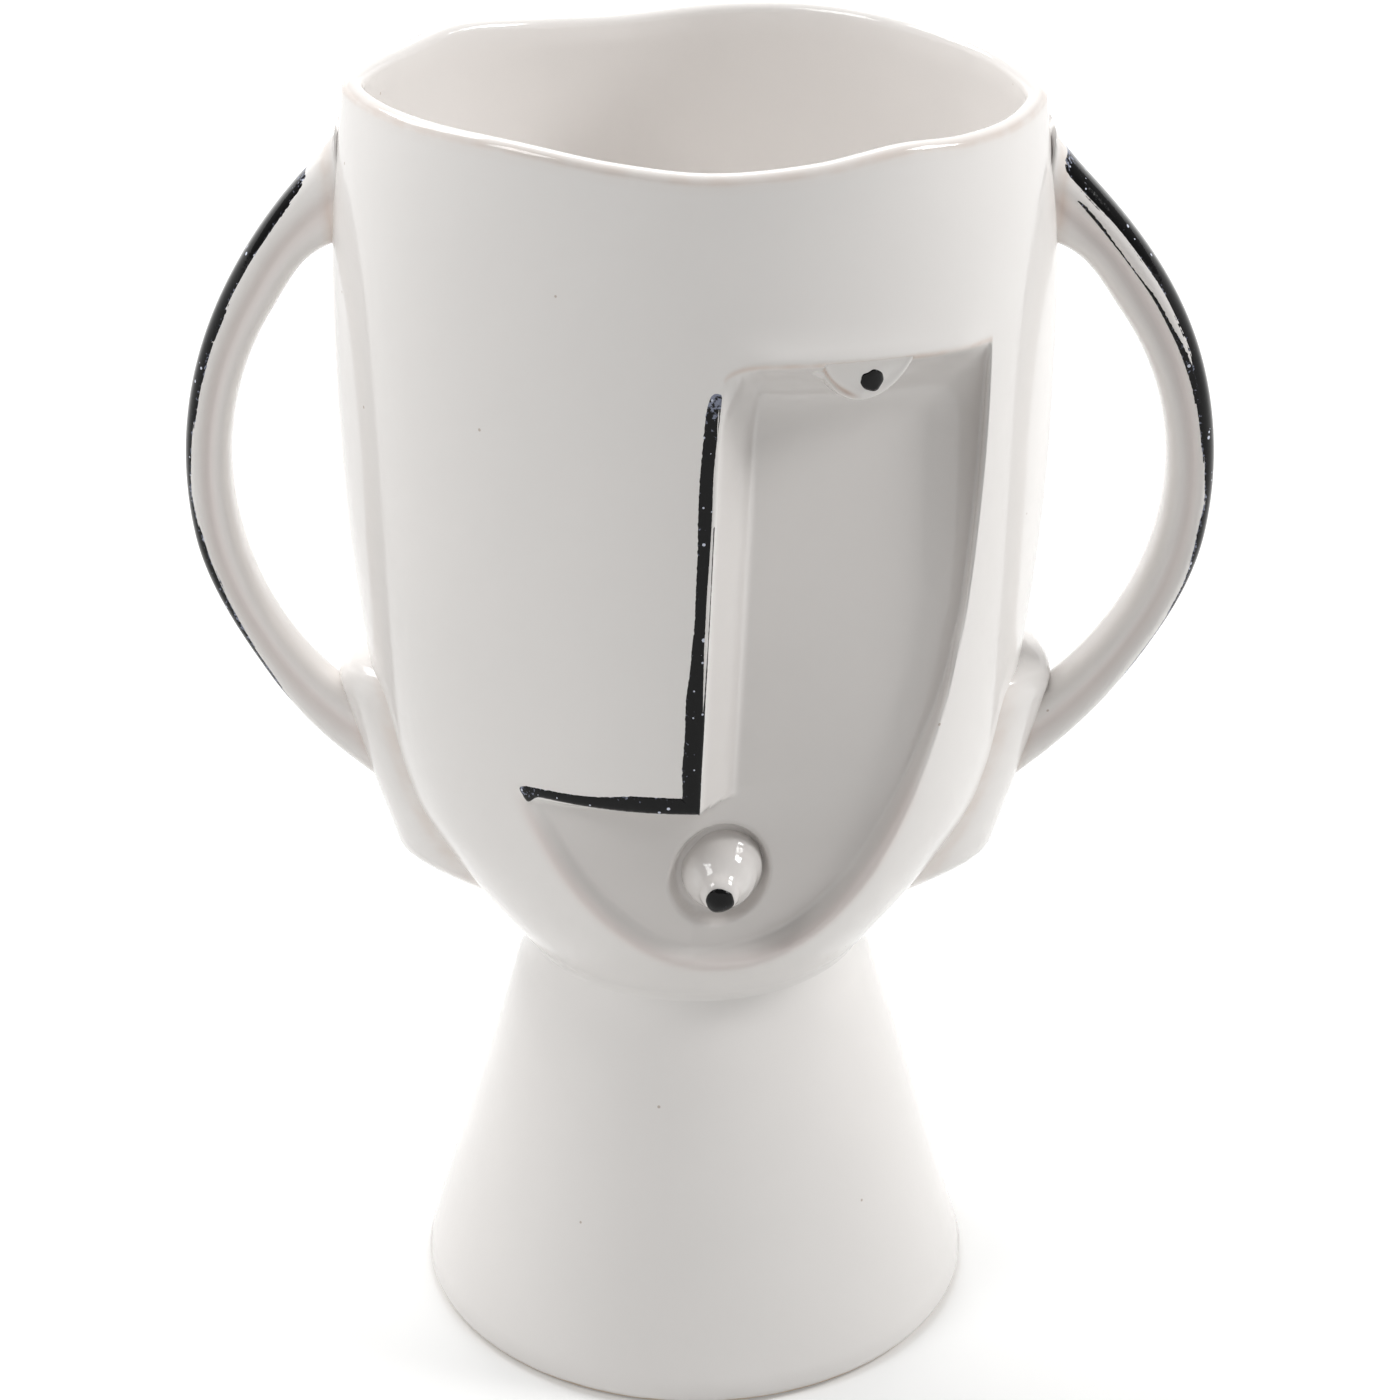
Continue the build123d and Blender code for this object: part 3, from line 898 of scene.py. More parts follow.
HANDLE_Y = (corner_of("handle_right", 0).y + corner_of("handle_right", 1).y) / 2
HANDLE_HALF_DEPTH = (corner_of("handle_right", 1).y - corner_of("handle_right", 0).y) / 2
SECTION_POWER = 0.75
GROOVE_DEPTH = 1.3
GROOVE_PLACE = 0.46
GROOVE_WIDTH = 0.16


def signed_power(value, power):
    """Power of a value that keeps its sign, for rounded blocks."""
    return abs(value) ** power * (1 if value > 0 else -1)


def evened(angle):
    """Angle that spreads the points of a rounded block more evenly over its flat sides."""
    return angle - 0.75 * sin(4 * angle) / 4


def bar_section(angle):
    """Place on the bar's section: share of the way from the inner to the outer arc, and y from the middle."""
    share = 0.5 + 0.5 * signed_power(cos(angle), SECTION_POWER)
    y = HANDLE_HALF_DEPTH * signed_power(sin(angle), SECTION_POWER)
    if y < 0:
        on_front = soft_step(-y / HANDLE_HALF_DEPTH * 1.5)
        y += GROOVE_DEPTH * bump(share - GROOVE_PLACE, GROOVE_WIDTH) * on_front
    return share, y


def bar_point(bend, share, y):
    """Point of the right handle: bend is the angle round the outer arc's centre, from level."""
    offset = HANDLE_INNER_X - HANDLE_OUTER_X
    inner = offset * cos(bend) + sqrt(HANDLE_INNER_RADIUS**2 - (offset * sin(bend)) ** 2)
    inner += TOP_THINNING * soft_step((degrees(bend) - THIN_ABOVE) / THIN_OVER)
    outer = HANDLE_OUTER_RADIUS - HANDLE_TUCK * soft_step((TUCK_BELOW - degrees(bend)) / TUCK_OVER)
    outer -= SHOULDER_FLAT * bump(degrees(bend) - SHOULDER_AT, SHOULDER_WIDTH)
    reach = inner + (outer - inner) * share
    return Vector((HANDLE_OUTER_X + reach * cos(bend), HANDLE_Y + y, HANDLE_MIDDLE + reach * sin(bend)))


def place_on_side(bm, side):
    """Mirrors a right-hand shape for the left side, and lets both handles lean to the right as they do."""
    for vert in bm.verts:
        vert.co.x = side * vert.co.x + HANDLE_LEAN * soft_step((vert.co.x - LEAN_FROM) / LEAN_OVER)


bar_thickness = (bar_point(0.0, 1.0, 0.0) - bar_point(0.0, 0.0, 0.0)).length
print("handle thickness", round(bar_thickness, 1), "mm")

# %% [markdown]
# ## Where the handles end
# The upper end is pressed on the head and the lower end is covered by the lobe, so each line of the bar ends
# at its own place. It is found by halving the stretch between a free point and a sunk one. Handle and stripe
# both ask the last function here for a point on the bar's skin.

# %% The bar's ends and skin
ROOT_SINK = 2.2
ROOT_FLARE = 2.2
ROOT_SPREAD = 4.0
ROOT_FLARE_LENGTH = 6.0
ROOT_THICKNESS = 14.0
LOWER_SWELL = 0.5
LOBE_COVER = 7.0
LOBE_TOP = corner_of("ear_lobe_right", 1).z - 5.5
LOBE_BOTTOM = corner_of("ear_lobe_right", 0).z
LOBE_TOP_X = 85.3
LOBE_BOTTOM_X = 69.3


def lobe_line(height):
    """X of the lobe's outer line, straight from its top to its bottom."""
    return LOBE_BOTTOM_X + (LOBE_TOP_X - LOBE_BOTTOM_X) * (height - LOBE_BOTTOM) / (LOBE_TOP - LOBE_BOTTOM)


def bar_end(share, y, upwards):
    """Bend at which a line of the bar is sunk into the head, or at the lower end into the lobe."""
    free, sunk = 0.0, upwards * radians(80.0)
    for attempt in range(24):
        bend = (free + sunk) / 2
        point = bar_point(bend, share, y)
        limit = side_x(point.y, point.z) - ROOT_SINK
        if upwards < 0:
            limit = max(limit, lobe_line(point.z) - LOBE_COVER)
        if point.x < limit:
            sunk = bend
        else:
            free = bend
    return (free + sunk) / 2


@cache
def bar_ends(section_degrees):
    """Bends at which a line of the bar's section ends above and below."""
    share, y = bar_section(radians(section_degrees))
    return bar_end(share, y, 1), bar_end(share, y, -1)


def bar_skin(bend, angle, top, bottom):
    """Point on the uneven skin at an angle of the section. Near its ends the bar swells."""
    share, y = bar_section(angle)
    from_top = (top - bend) * HANDLE_OUTER_RADIUS
    from_bottom = (bend - bottom) * HANDLE_OUTER_RADIUS
    swell = exp(-from_top / ROOT_FLARE_LENGTH) + LOWER_SWELL * exp(-from_bottom / ROOT_FLARE_LENGTH)
    y *= 1 + ROOT_FLARE / HANDLE_HALF_DEPTH * swell
    share += (share - 0.5) * 2 * ROOT_SPREAD / ROOT_THICKNESS * swell
    point = bar_point(bend, share, y)
    point.y += wobble(point)
    return point


print("bar's outer line ends at", [round(degrees(bend), 1) for bend in bar_ends(0)], "degrees")

# %% [markdown]
# ## The handles
# A circle stands for the section and is spun along the bend. Each of its lines is then laid on the bar's skin
# and ends just inside the head, or inside the lobe below. Near the roots the bar swells, as clay does that is
# pressed on, and the glaze is thin round them. The left handle is the mirror of the right one.

# %% Spin the handles
SIDES = (("left", -1), ("right", 1))
BAR_SIDES = 48
BAR_STEPS = 110
SPIN_RADIUS = 100.0
GROOVE_BLUSH = 0.3

# Thin glaze round the two roots: its share, its distance from the bar's end and its width
TOP_THIN, TOP_THIN_AT, TOP_THIN_WIDTH = 0.35, 4.5, 1.8
LOW_THIN, LOW_THIN_AT, LOW_THIN_WIDTH = 0.2, 8.0, 3.0


def shape_bar(bm):
    """Spins the section along the bend and lays it on the bar's skin."""
    thin_layer = bm.verts.layers.float.new(THIN_GLAZE)
    blush_layer = bm.verts.layers.float.new(BLUSH)
    bmesh.ops.create_circle(bm, cap_ends=True, segments=BAR_SIDES, radius=1.0)
    bmesh.ops.translate(bm, verts=bm.verts, vec=(SPIN_RADIUS, 0, 0))
    bmesh.ops.rotate(bm, verts=bm.verts, cent=(0, 0, 0), matrix=Matrix.Rotation(-1.0, 3, "Y"))
    whole = bm.verts[:] + bm.edges[:] + bm.faces[:]
    bmesh.ops.spin(bm, geom=whole, cent=(0, 0, 0), axis=(0, 1, 0), angle=2.0, steps=BAR_STEPS)
    for vert in bm.verts:
        along = atan2(vert.co.z, vert.co.x)
        # The spun section's front, where y is negative, is the bar's front
        angle = evened(atan2(vert.co.y, hypot(vert.co.x, vert.co.z) - SPIN_RADIUS))
        top, bottom = bar_ends(round(degrees(angle)))
        bend = bottom + (top - bottom) * (along + 1.0) / 2.0
        vert.co = bar_skin(bend, angle, top, bottom)
        from_top = (top - bend) * HANDLE_OUTER_RADIUS
        from_bottom = (bend - bottom) * HANDLE_OUTER_RADIUS
        top_thin = TOP_THIN * bump(from_top - TOP_THIN_AT, TOP_THIN_WIDTH)
        vert[thin_layer] = top_thin + LOW_THIN * bump(from_bottom - LOW_THIN_AT, LOW_THIN_WIDTH)
        if angle < 0:
            vert[blush_layer] = GROOVE_BLUSH * bump(bar_section(angle)[0] - GROOVE_PLACE, GROOVE_WIDTH)


for side_name, side in SIDES:
    bar = bmesh.new()
    shape_bar(bar)
    place_on_side(bar, side)
    make_piece(bar, "handle_" + side_name, glaze)

# %% [markdown]
# ## The ear lobes
# A lobe is a pad of clay pressed on the cheek, over the handle's lower end. Its back is a square edge, and
# its front and its foot are smoothed into the cheek with a thumb. A circle is swept upwards, and each level
# is then fitted between the cheek and the lobe's outer line.

# %% Sweep the lobes
LOBE_SIDES = 56
LOBE_LEVELS = 48
LOBE_FRONT = corner_of("ear_lobe_right", 0).y
LOBE_BACK = corner_of("ear_lobe_right", 1).y
LOBE_FRONT_POWER = 0.85
LOBE_FRONT_RISE = 2.0
LOBE_BACK_POWER = 0.38
LOBE_LEAD = 14.0
LOBE_END_SHARE = 0.75
LOBE_SINK = 2.2
LOBE_CROWN = 8.0
LOBE_CROWN_TOP = LOBE_TOP + 1.0
LOBE_TAIL = 13.0
LOBE_TAIL_DROP = 5.0
LOBE_TAIL_POWER = 0.8
LOBE_THIN = 0.25


def lobe_fullness(height):
    """How far the lobe stands out of the cheek: rounded at the top, run out softly at the foot."""
    crown = clamp((height - (LOBE_CROWN_TOP - LOBE_CROWN)) / LOBE_CROWN)
    tail = clamp((height - (LOBE_BOTTOM - LOBE_TAIL_DROP)) / LOBE_TAIL)
    return sqrt(max(1 - crown**2, 0.0)) * soft_step(tail) ** LOBE_TAIL_POWER


def shape_lobe(bm):
    """Sweeps a circle upwards and fits each level to the cheek."""
    thin_layer = bm.verts.layers.float.new(THIN_GLAZE)
    bmesh.ops.create_circle(bm, cap_ends=True, segments=LOBE_SIDES, radius=1.0)
    whole = bm.verts[:] + bm.edges[:] + bm.faces[:]
    low = LOBE_BOTTOM - LOBE_TAIL_DROP
    rise = LOBE_CROWN_TOP - low
    step = Vector((0, 0, rise / LOBE_LEVELS))
    bmesh.ops.spin(bm, geom=whole, cent=(0, 0, 0), axis=(0, 0, 1), dvec=step, angle=0.0, steps=LOBE_LEVELS)
    middle_y = (LOBE_FRONT + LOBE_BACK) / 2
    half_depth = (LOBE_BACK - LOBE_FRONT) / 2
    for vert in bm.verts:
        angle = atan2(vert.co.y, vert.co.x)
        height = low + clamp(vert.co.z / rise) * rise
        full = lobe_fullness(height)
        in_front = sin(angle) < 0
        power = LOBE_FRONT_POWER if in_front else LOBE_BACK_POWER
        reach = half_depth + (LOBE_LEAD if in_front else 0.0)
        narrowed = LOBE_END_SHARE + (1 - LOBE_END_SHARE) * full
        y = middle_y + reach * narrowed * signed_power(sin(angle), power)
        cheek = side_x(y, height)
        outer = max(lobe_line(height) - (side_x(middle_y, height) - cheek) * 0.5, cheek + 1.0)
        proud = (outer - cheek) * full
        out = max(cos(angle), 0.0) ** (LOBE_FRONT_RISE if in_front else LOBE_BACK_POWER)
        x = cheek - LOBE_SINK + (LOBE_SINK + proud) * out
        vert.co = Vector((x, y, height))
        vert.co.x += wobble(vert.co)
        vert[thin_layer] = LOBE_THIN * bump(out - 0.2, 0.15)


for side_name, side in SIDES:
    lobe = bmesh.new()
    shape_lobe(lobe)
    bmesh.ops.scale(lobe, vec=Vector((side, 1, 1)), verts=lobe.verts)
    make_piece(lobe, "ear_lobe_" + side_name, glaze)

# %% [markdown]
# ## The eye
# The eye is a tab of clay in the corner under the brow, trimmed to a flat almond that faces a little
# upwards. On the nose's side the almond lies in a crease, and on the other side its lower edge is a ridge. A
# grid is draped over the slope under the brow and led to the almond's plane, as one even skin.

# %% Drape the eye lid
EYE_SLOW_EDGE = 5.0
EYE_SHARP_EDGE = 1.6
EYE_TOP_SETBACK = 1.26
EYE_SLANT_DOWN = 0.3
EYE_SLANT_ACROSS = 0.103
EYE_EDGE_INSIDE = 0.8
EYE_RIDGE = 0.5
EYE_RIDGE_WIDTH = 1.5
EYE_CREASE = 0.6
EYE_CREASE_WIDTH = 0.9
EYE_CREASE_THIN = 0.8
EYE_SINK = 0.5
EYE_LAP = 0.6
EYE_THICKNESS = 2.0
EYE_REACH = (17.0, 18.0)
EYE_CELLS = (84, 72)


def eye_nose_side(x):
    """1 on the eye's side towards the nose, 0 on the other side."""
    return soft_step((EYE_X - 1.0 - x) / 4.0)


def eye_lift(x, height):
    """How far the skin has come from the slope to the almond's plane, from 0 to 1."""
    sharp = soft_step((x - EYE_X + 4.0) / 6.0)
    edge = EYE_SLOW_EDGE + (EYE_SHARP_EDGE - EYE_SLOW_EDGE) * sharp
    return soft_step(eye_inside(x, height) / edge + 1.0)


def eye_y(x, height):
    """Y of the lid's skin."""
    slope = front_y(x, height) + floor_depth(x, height) * brow_share(brow_line(x) - height) + EYE_SINK
    setback = EYE_TOP_SETBACK + EYE_SLANT_DOWN * (brow_line(x) - height) - EYE_SLANT_ACROSS * (x - EYE_X)
    inside = eye_inside(x, height)
    ridge = EYE_RIDGE * bump(inside - EYE_EDGE_INSIDE, EYE_RIDGE_WIDTH) * (1 - eye_nose_side(x))
    crease = EYE_CREASE * bump(inside - EYE_EDGE_INSIDE, EYE_CREASE_WIDTH) * eye_nose_side(x)
    return slope + (front_y(x, height) + setback - slope) * eye_lift(x, height) - ridge + crease


eye = bmesh.new()
crease_layer = eye.verts.layers.float.new(THIN_GLAZE)
bmesh.ops.create_grid(eye, x_segments=EYE_CELLS[0], y_segments=EYE_CELLS[1], size=1.0)
for vert in eye.verts:
    across, up = vert.co.x, vert.co.y
    x = EYE_X + EYE_REACH[0] * across
    height = brow_line(x) + EYE_LAP + EYE_REACH[1] * (up - 1) / 2
    crease = bump(eye_inside(x, height) - 0.5, 0.6)
    vert[crease_layer] = EYE_CREASE_THIN * crease * eye_nose_side(x)
    vert.co = Vector((x, eye_y(x, height), height))
close_behind(eye, Vector((0, EYE_THICKNESS, 0)))
make_piece(eye, "eye_lid", glaze)

# %% [markdown]
# ## The mouth knob
# The knob is thrown like a stopper: a rounded cone on a flared seat, with a collar under its round tip. Its
# outline is spun round its own axis, then turned to face forwards and set in the dish.

# %% Spin the mouth knob
KNOB_TIP_RADIUS = 4.7
KNOB_REACH = 9.9
KNOB_SEAT = 7.0
KNOB_STEPS = 64
# Painted shade on the knob, which sits deep in the mouth's dish
KNOB_SHADE = 0.25
MOUTH_TILT = radians(6.0)

# Radius and height above the floor of the knob's side, from the seat up
KNOB_SIDE = (
    (0.0, -KNOB_SEAT),
    (9.8, -KNOB_SEAT),
    (9.6, -3.4),
    (8.9, -2.4),
    (8.5, -0.8),
    (7.9, 1.2),
    (7.0, 3.0),
    (6.0, 4.2),
    (5.3, 5.1),
)
mouth_floor = front_y(*MOUTH) + pressed_depth(*MOUTH)


def set_in_mouth(bm):
    """Turns a shape that stands on the XY plane to look out of the mouth, and moves it there."""
    turned = Matrix.Rotation(pi / 2 + MOUTH_TILT, 3, "X")
    bmesh.ops.rotate(bm, verts=bm.verts, cent=(0, 0, 0), matrix=turned)
    bmesh.ops.translate(bm, verts=bm.verts, vec=(MOUTH[0], mouth_floor, MOUTH[1]))


def tip_arc(radius, from_angle, steps):
    """Points on the knob's round tip, from an angle over the level up to the axis."""
    points = []
    for i in range(steps + 1):
        angle = from_angle + (pi / 2 - from_angle) * i / steps
        points.append((radius * cos(angle), KNOB_REACH - KNOB_TIP_RADIUS + radius * sin(angle)))
    return points


knob = bmesh.new()
spin_ring(knob, [*KNOB_SIDE, *tip_arc(KNOB_TIP_RADIUS, radians(10.0), 10)], KNOB_STEPS)
set_in_mouth(knob)
# The whole knob gets the painted shade of the sunken face
knob_shade = knob.verts.layers.float.new(RECESS_SHADE)
for vert in knob.verts:
    vert[knob_shade] = KNOB_SHADE
make_piece(knob, "mouth_knob", glaze)

# %% [markdown]
# ## The enamel dots
# A loaded brush leaves a round, slightly domed drop. Each dot is a short outline spun once, with an edge that
# wanders a little, because the paint was set down by hand.

# %% Spin the pupil and the mouth's dot
ENAMEL = 0.5
DOT_STEPS = 56
PUPIL_RADIUS = 2.5
PUPIL_PLACE = (EYE_X + 0.8, brow_line(EYE_X) - 4.9)
PUPIL_RINGS = 6
PUPIL_SINK = 0.8
PUPIL_WANDER = 0.22
PUPIL_CRUST = 0.25
MOUTH_DOT_RADIUS = 3.0
MOUTH_DOT_RISE = 0.7
MOUTH_DOT_SINK = 0.6
MOUTH_DOT_WANDER = 0.12
MOUTH_DOT_CRUST = 0.2


def uneven(angle, seed, amount):
    """Share by which a hand-painted edge wanders at an angle."""
    return 1 + amount * noise.noise(Vector((cos(angle) * 1.3, sin(angle) * 1.3, seed)))


pupil = bmesh.new()
pupil_crust = pupil.verts.layers.float.new(CRUST)
dome = []
for i in range(PUPIL_RINGS + 1):
    share = i / PUPIL_RINGS
    dome.append((PUPIL_RADIUS * share, ENAMEL * (1 - share**3)))
spin_ring(pupil, dome + [(PUPIL_RADIUS * 0.9, -PUPIL_SINK), (0.0, -PUPIL_SINK)], DOT_STEPS)
for vert in pupil.verts:
    away = hypot(vert.co.x, vert.co.y)
    angle = atan2(vert.co.y, vert.co.x)
    share = away / PUPIL_RADIUS
    spread = uneven(angle, 3.0, PUPIL_WANDER * share)
    x = PUPIL_PLACE[0] + vert.co.x * spread
    height = PUPIL_PLACE[1] + vert.co.y * spread
    vert[pupil_crust] = PUPIL_CRUST * share**4
    vert.co = Vector((x, eye_y(x, height) - vert.co.z, height))
make_piece(pupil, "pupil", enamel)

dot = bmesh.new()
dot_crust = dot.verts.layers.float.new(CRUST)
dot_edge = pi / 2 - asin(MOUTH_DOT_RADIUS / KNOB_TIP_RADIUS)
under = tip_arc(KNOB_TIP_RADIUS - MOUTH_DOT_SINK, dot_edge, 4)
skin = tip_arc(KNOB_TIP_RADIUS + ENAMEL * MOUTH_DOT_RISE, dot_edge, 7)
spin_ring(dot, skin + under[::-1], DOT_STEPS)
for vert in dot.verts:
    angle = atan2(vert.co.y, vert.co.x)
    share = hypot(vert.co.x, vert.co.y) / MOUTH_DOT_RADIUS
    spread = uneven(angle, 8.0, MOUTH_DOT_WANDER * min(share, 1.2))
    vert.co.x *= spread
    vert.co.y *= spread
    vert[dot_crust] = MOUTH_DOT_CRUST * share**4
set_in_mouth(dot)
make_piece(dot, "mouth_dot", enamel)

# %% [markdown]
# ## The nose stroke
# One brush stroke runs down the nose's edge and turns along its base, where it thins out and ends in a drip.
# A grid is laid along the stroke, its outer side on the nose's edge and its inner side where the bristles
# left it ragged. The skin is domed, thicker in the middle, and closed behind.

# %% Lay the nose stroke
STROKE_TOP = 255.8
STROKE_END_X = -39.0
STROKE_ROWS = 300
STROKE_COLUMNS = 9
STROKE_HEIGHT = 0.3
STROKE_EDGE_SINK = 0.12
STROKE_BACK = 0.7
STROKE_TOP_LAP = 1.1
STROKE_LAP_FROM = 225.0
CORNER_SHARE = 0.70
MITRE = 6.0
DRIP = 2.0
DRIP_WIDTH = 1.5
START_TAPER = 0.015
END_TAPER = 0.012

# Crust at the stroke's start, at its end and along its ragged edge
START_CRUST, START_CRUST_LENGTH = 0.95, 0.10
END_CRUST, END_CRUST_LENGTH = 0.6, 0.045
EDGE_CRUST, EDGE_CRUST_WIDTH = 0.5, 0.38

# Width of the upright part by height, and of the level part by x
UPRIGHT_WIDTHS = [(NOSE_BASE, 4.0), (180.0, 4.6), (215.0, 4.1), (235.0, 4.5), (250.0, 5.0), (256.0, 3.6)]
LEVEL_WIDTHS = [(-39.0, 2.4), (-30.0, 2.5), (-20.0, 3.3), (-12.0, 4.2), (2.0, 4.2)]


def ragged(along, seed, amount):
    """Wandering of a dry brush edge: slow waves with short hairs on them."""
    slow = noise.noise(Vector((along / 9.0, seed, 0.0)))
    hairs = noise.noise(Vector((along / 0.9, seed, 5.0)))
    return amount * (slow + 0.8 * hairs)


def stroke_place(along, across):
    """Point of the stroke seen from the front: along from its top, across from the nose's edge inwards."""
    if along < CORNER_SHARE:
        height = STROKE_TOP + (NOSE_BASE - STROKE_TOP) * along / CORNER_SHARE
        width = smooth_through(UPRIGHT_WIDTHS, height) + ragged(height, 1.0, 0.28)
        mitre = clamp((NOSE_BASE + MITRE - height) / MITRE)
        lift = mitre * smooth_through(LEVEL_WIDTHS, NOSE_TIP_X) * across
        edge = nose_x(height) + STROKE_TOP_LAP * soft_step((height - 232.0) / 22.0)
        return edge - width * across + ragged(height, 2.0, 0.06), height + lift
    x = NOSE_TIP_X + (STROKE_END_X - NOSE_TIP_X) * (along - CORNER_SHARE) / (1 - CORNER_SHARE)
    width = smooth_through(LEVEL_WIDTHS, x) + ragged(x, 3.0, 0.2)
    mitre = clamp((x - NOSE_TIP_X + MITRE) / MITRE)
    draw_in = mitre * smooth_through(UPRIGHT_WIDTHS, NOSE_BASE) * across
    drip = DRIP * bump(x - STROKE_END_X - DRIP, DRIP_WIDTH) * (1 - across)
    return x - draw_in, NOSE_BASE + 0.2 + width * across - drip + ragged(x, 4.0, 0.1)


stroke = bmesh.new()
stroke_crust = stroke.verts.layers.float.new(CRUST)
bmesh.ops.create_grid(stroke, x_segments=STROKE_ROWS, y_segments=STROKE_COLUMNS, size=0.5)
for vert in stroke.verts:
    along, across = vert.co.x + 0.5, vert.co.y + 0.5
    taper = sqrt(clamp(min(along / START_TAPER, (1 - along) / END_TAPER)))
    x, height = stroke_place(along, 0.5 + (across - 0.5) * taper)
    dome = 1 - abs(2 * across - 1) ** 3
    rise = STROKE_HEIGHT * dome * taper - STROKE_EDGE_SINK
    start_crust = START_CRUST * clamp(1 - along / START_CRUST_LENGTH)
    end_crust = END_CRUST * clamp(1 - (1 - along) / END_CRUST_LENGTH)
    edge_crust = EDGE_CRUST * clamp(1 - (1 - across) / EDGE_CRUST_WIDTH)
    vert[stroke_crust] = max(start_crust, end_crust, edge_crust)
    under = face_y(x, height) if height > STROKE_LAP_FROM else front_y(x, height)
    vert.co = Vector((x, under - rise, height))
close_behind(stroke, Vector((0, STROKE_BACK, 0)))
make_piece(stroke, "nose_line", enamel)

# %% [markdown]
# ## The handle stripes
# The stripes were drawn down the outer side of the handles with the edge of a brush, so they cover the bar's
# back and lap over its front roll, wide at the top and running dry below. Beside the right stripe runs a
# thin line of its own, with bare white glaze between. A grid is laid on the bar's skin and lifted by the
# paint's thickness.

# %% Points on the bar's skin
STRIPE_SINK = 0.5
STRIPE_EDGE_SINK = 0.03


def lap_angle(bend, width):
    """Angle of the section whose point on the front lies this far inside the bar's outer side."""
    thickness = (bar_point(bend, 1.0, 0.0) - bar_point(bend, 0.0, 0.0)).length
    return -acos(clamp(1 - 2 * width / thickness) ** (1 / SECTION_POWER))


def paint_point(bend, angle, thickness):
    """Point on the skin of paint that lies this thick on the bar."""
    here = bar_skin(bend, angle, *bar_ends(round(degrees(angle))))
    start = bar_point(bend, *bar_section(angle))
    ahead = bar_point(bend, *bar_section(angle + 0.02)) - start
    along = bar_point(bend + 0.01, *bar_section(angle)) - start
    out = ahead.cross(along).normalized()
    if out.dot(here - bar_point(bend, 0.5, 0.0)) <= 0:
        out = -out
    return here + out * (thickness - STRIPE_EDGE_SINK)


def sink_back(bm):
    """Gives the stripe its thickness: its copy is drawn in towards the middle of the bar."""
    made = bmesh.ops.extrude_face_region(bm, geom=bm.faces[:])
    for item in made["geom"]:
        if isinstance(item, bmesh.types.BMVert):
            bend = atan2(item.co.z - HANDLE_MIDDLE, item.co.x - HANDLE_OUTER_X)
            item.co += (bar_point(bend, 0.5, 0.0) - item.co).normalized() * STRIPE_SINK


print("a lap of 5 mm reaches", round(degrees(-lap_angle(0.0, 5.0))), "degrees round the bar's front")

# %% [markdown]
# ## Lay the paint
# A painted edge is never quite straight, so the widths along a stripe wander with the hairs of the brush. The
# paint is full where the brush was set down and breaks into a crust where it ran dry. The stray line has its
# own grid in the same mesh, because both are one piece of paint.

# %% Lay the stripes
STRIPE_ROWS = 260
STRIPE_COLUMNS = 40
STRIPE_HEIGHT = 0.16
STRIPE_BACK = radians(110.0)
STRIPE_LOW_TAPER = 0.06
STRIPE_TOP_TAPER = 0.025
STRIPE_DRY_BELOW = 0.42
STRIPE_DRY_CRUST = 0.62
STRIPE_TOP_CRUST = 0.7
STRIPE_TOP_CRUST_LENGTH = 0.05
STRIPE_LAP_CRUST_WIDTH = 0.07

# Heights of the top and bottom end of each stripe
STRIPE_ENDS = {"left": (281.0, 150.0), "right": (285.0, 154.0)}

# Width on the bar's front, by the share of the way up
STRIPE_WIDTHS = {
    "left": [(0.0, 1.6), (0.15, 2.2), (0.28, 3.1), (0.43, 1.5), (0.58, 2.5), (0.9, 2.1), (1.0, 1.2)],
    "right": [
        *((0.0, 1.0), (0.2, 1.4), (0.31, 2.7), (0.37, 2.2), (0.5, 3.8)),
        *((0.57, 3.7), (0.62, 2.4), (0.93, 2.7), (1.0, 3.4)),
    ],
}

# The stray line: its ends, its inner edge and its width, by the share of the way up the right stripe
STRAY_ENDS = (0.54, 0.94)
STRAY_EDGE = [(0.54, 3.95), (0.69, 4.6), (0.83, 5.1), (0.94, 4.8)]
STRAY_WIDTH = [(0.54, 1.6), (0.6, 1.5), (0.69, 0.9), (0.76, 0.4), (0.83, 0.35), (0.89, 0.7), (0.94, 0.5)]
STRAY_COLUMNS = 8
STRAY_HEIGHT = 0.12
STRAY_CRUST = 0.35
THINNEST_LINE = 0.05


def bend_at(side_name, up):
    """Bend of the handle at a share of the way up its stripe."""
    top, bottom = [asin((height - HANDLE_MIDDLE) / HANDLE_OUTER_RADIUS) for height in STRIPE_ENDS[side_name]]
    return bottom + (top - bottom) * up


def stripe_grid(bm, columns):
    """Adds a grid, and gives its vertices with their shares of the way up and across."""
    made = bmesh.ops.create_grid(bm, x_segments=STRIPE_ROWS, y_segments=columns, size=0.5)
    return [(vert, vert.co.x + 0.5, vert.co.y + 0.5) for vert in made["verts"]]


def lay_band(bm, crust_layer, side_name, side):
    """Lays the stripe itself over the bar's outer side."""
    for vert, up, across in stripe_grid(bm, STRIPE_COLUMNS):
        bend = bend_at(side_name, up)
        taper = sqrt(clamp(min(up / STRIPE_LOW_TAPER, (1 - up) / STRIPE_TOP_TAPER)))
        width = smooth_through(STRIPE_WIDTHS[side_name], up)
        width += ragged(bend * HANDLE_OUTER_RADIUS, 6.0 + side, 0.3)
        lap = lap_angle(bend, width * (0.25 + 0.75 * taper))
        dome = 1 - abs(2 * across - 1) ** 6
        lap_crust = clamp(1 - across / STRIPE_LAP_CRUST_WIDTH) * (0.4 + 0.6 * (1 - up))
        dry_crust = STRIPE_DRY_CRUST * clamp(1 - up / STRIPE_DRY_BELOW)
        top_crust = STRIPE_TOP_CRUST * clamp(1 - (1 - up) / STRIPE_TOP_CRUST_LENGTH)
        vert[crust_layer] = max(lap_crust, dry_crust, top_crust)
        vert.co = paint_point(bend, lap + (STRIPE_BACK - lap) * across, STRIPE_HEIGHT * dome * taper)


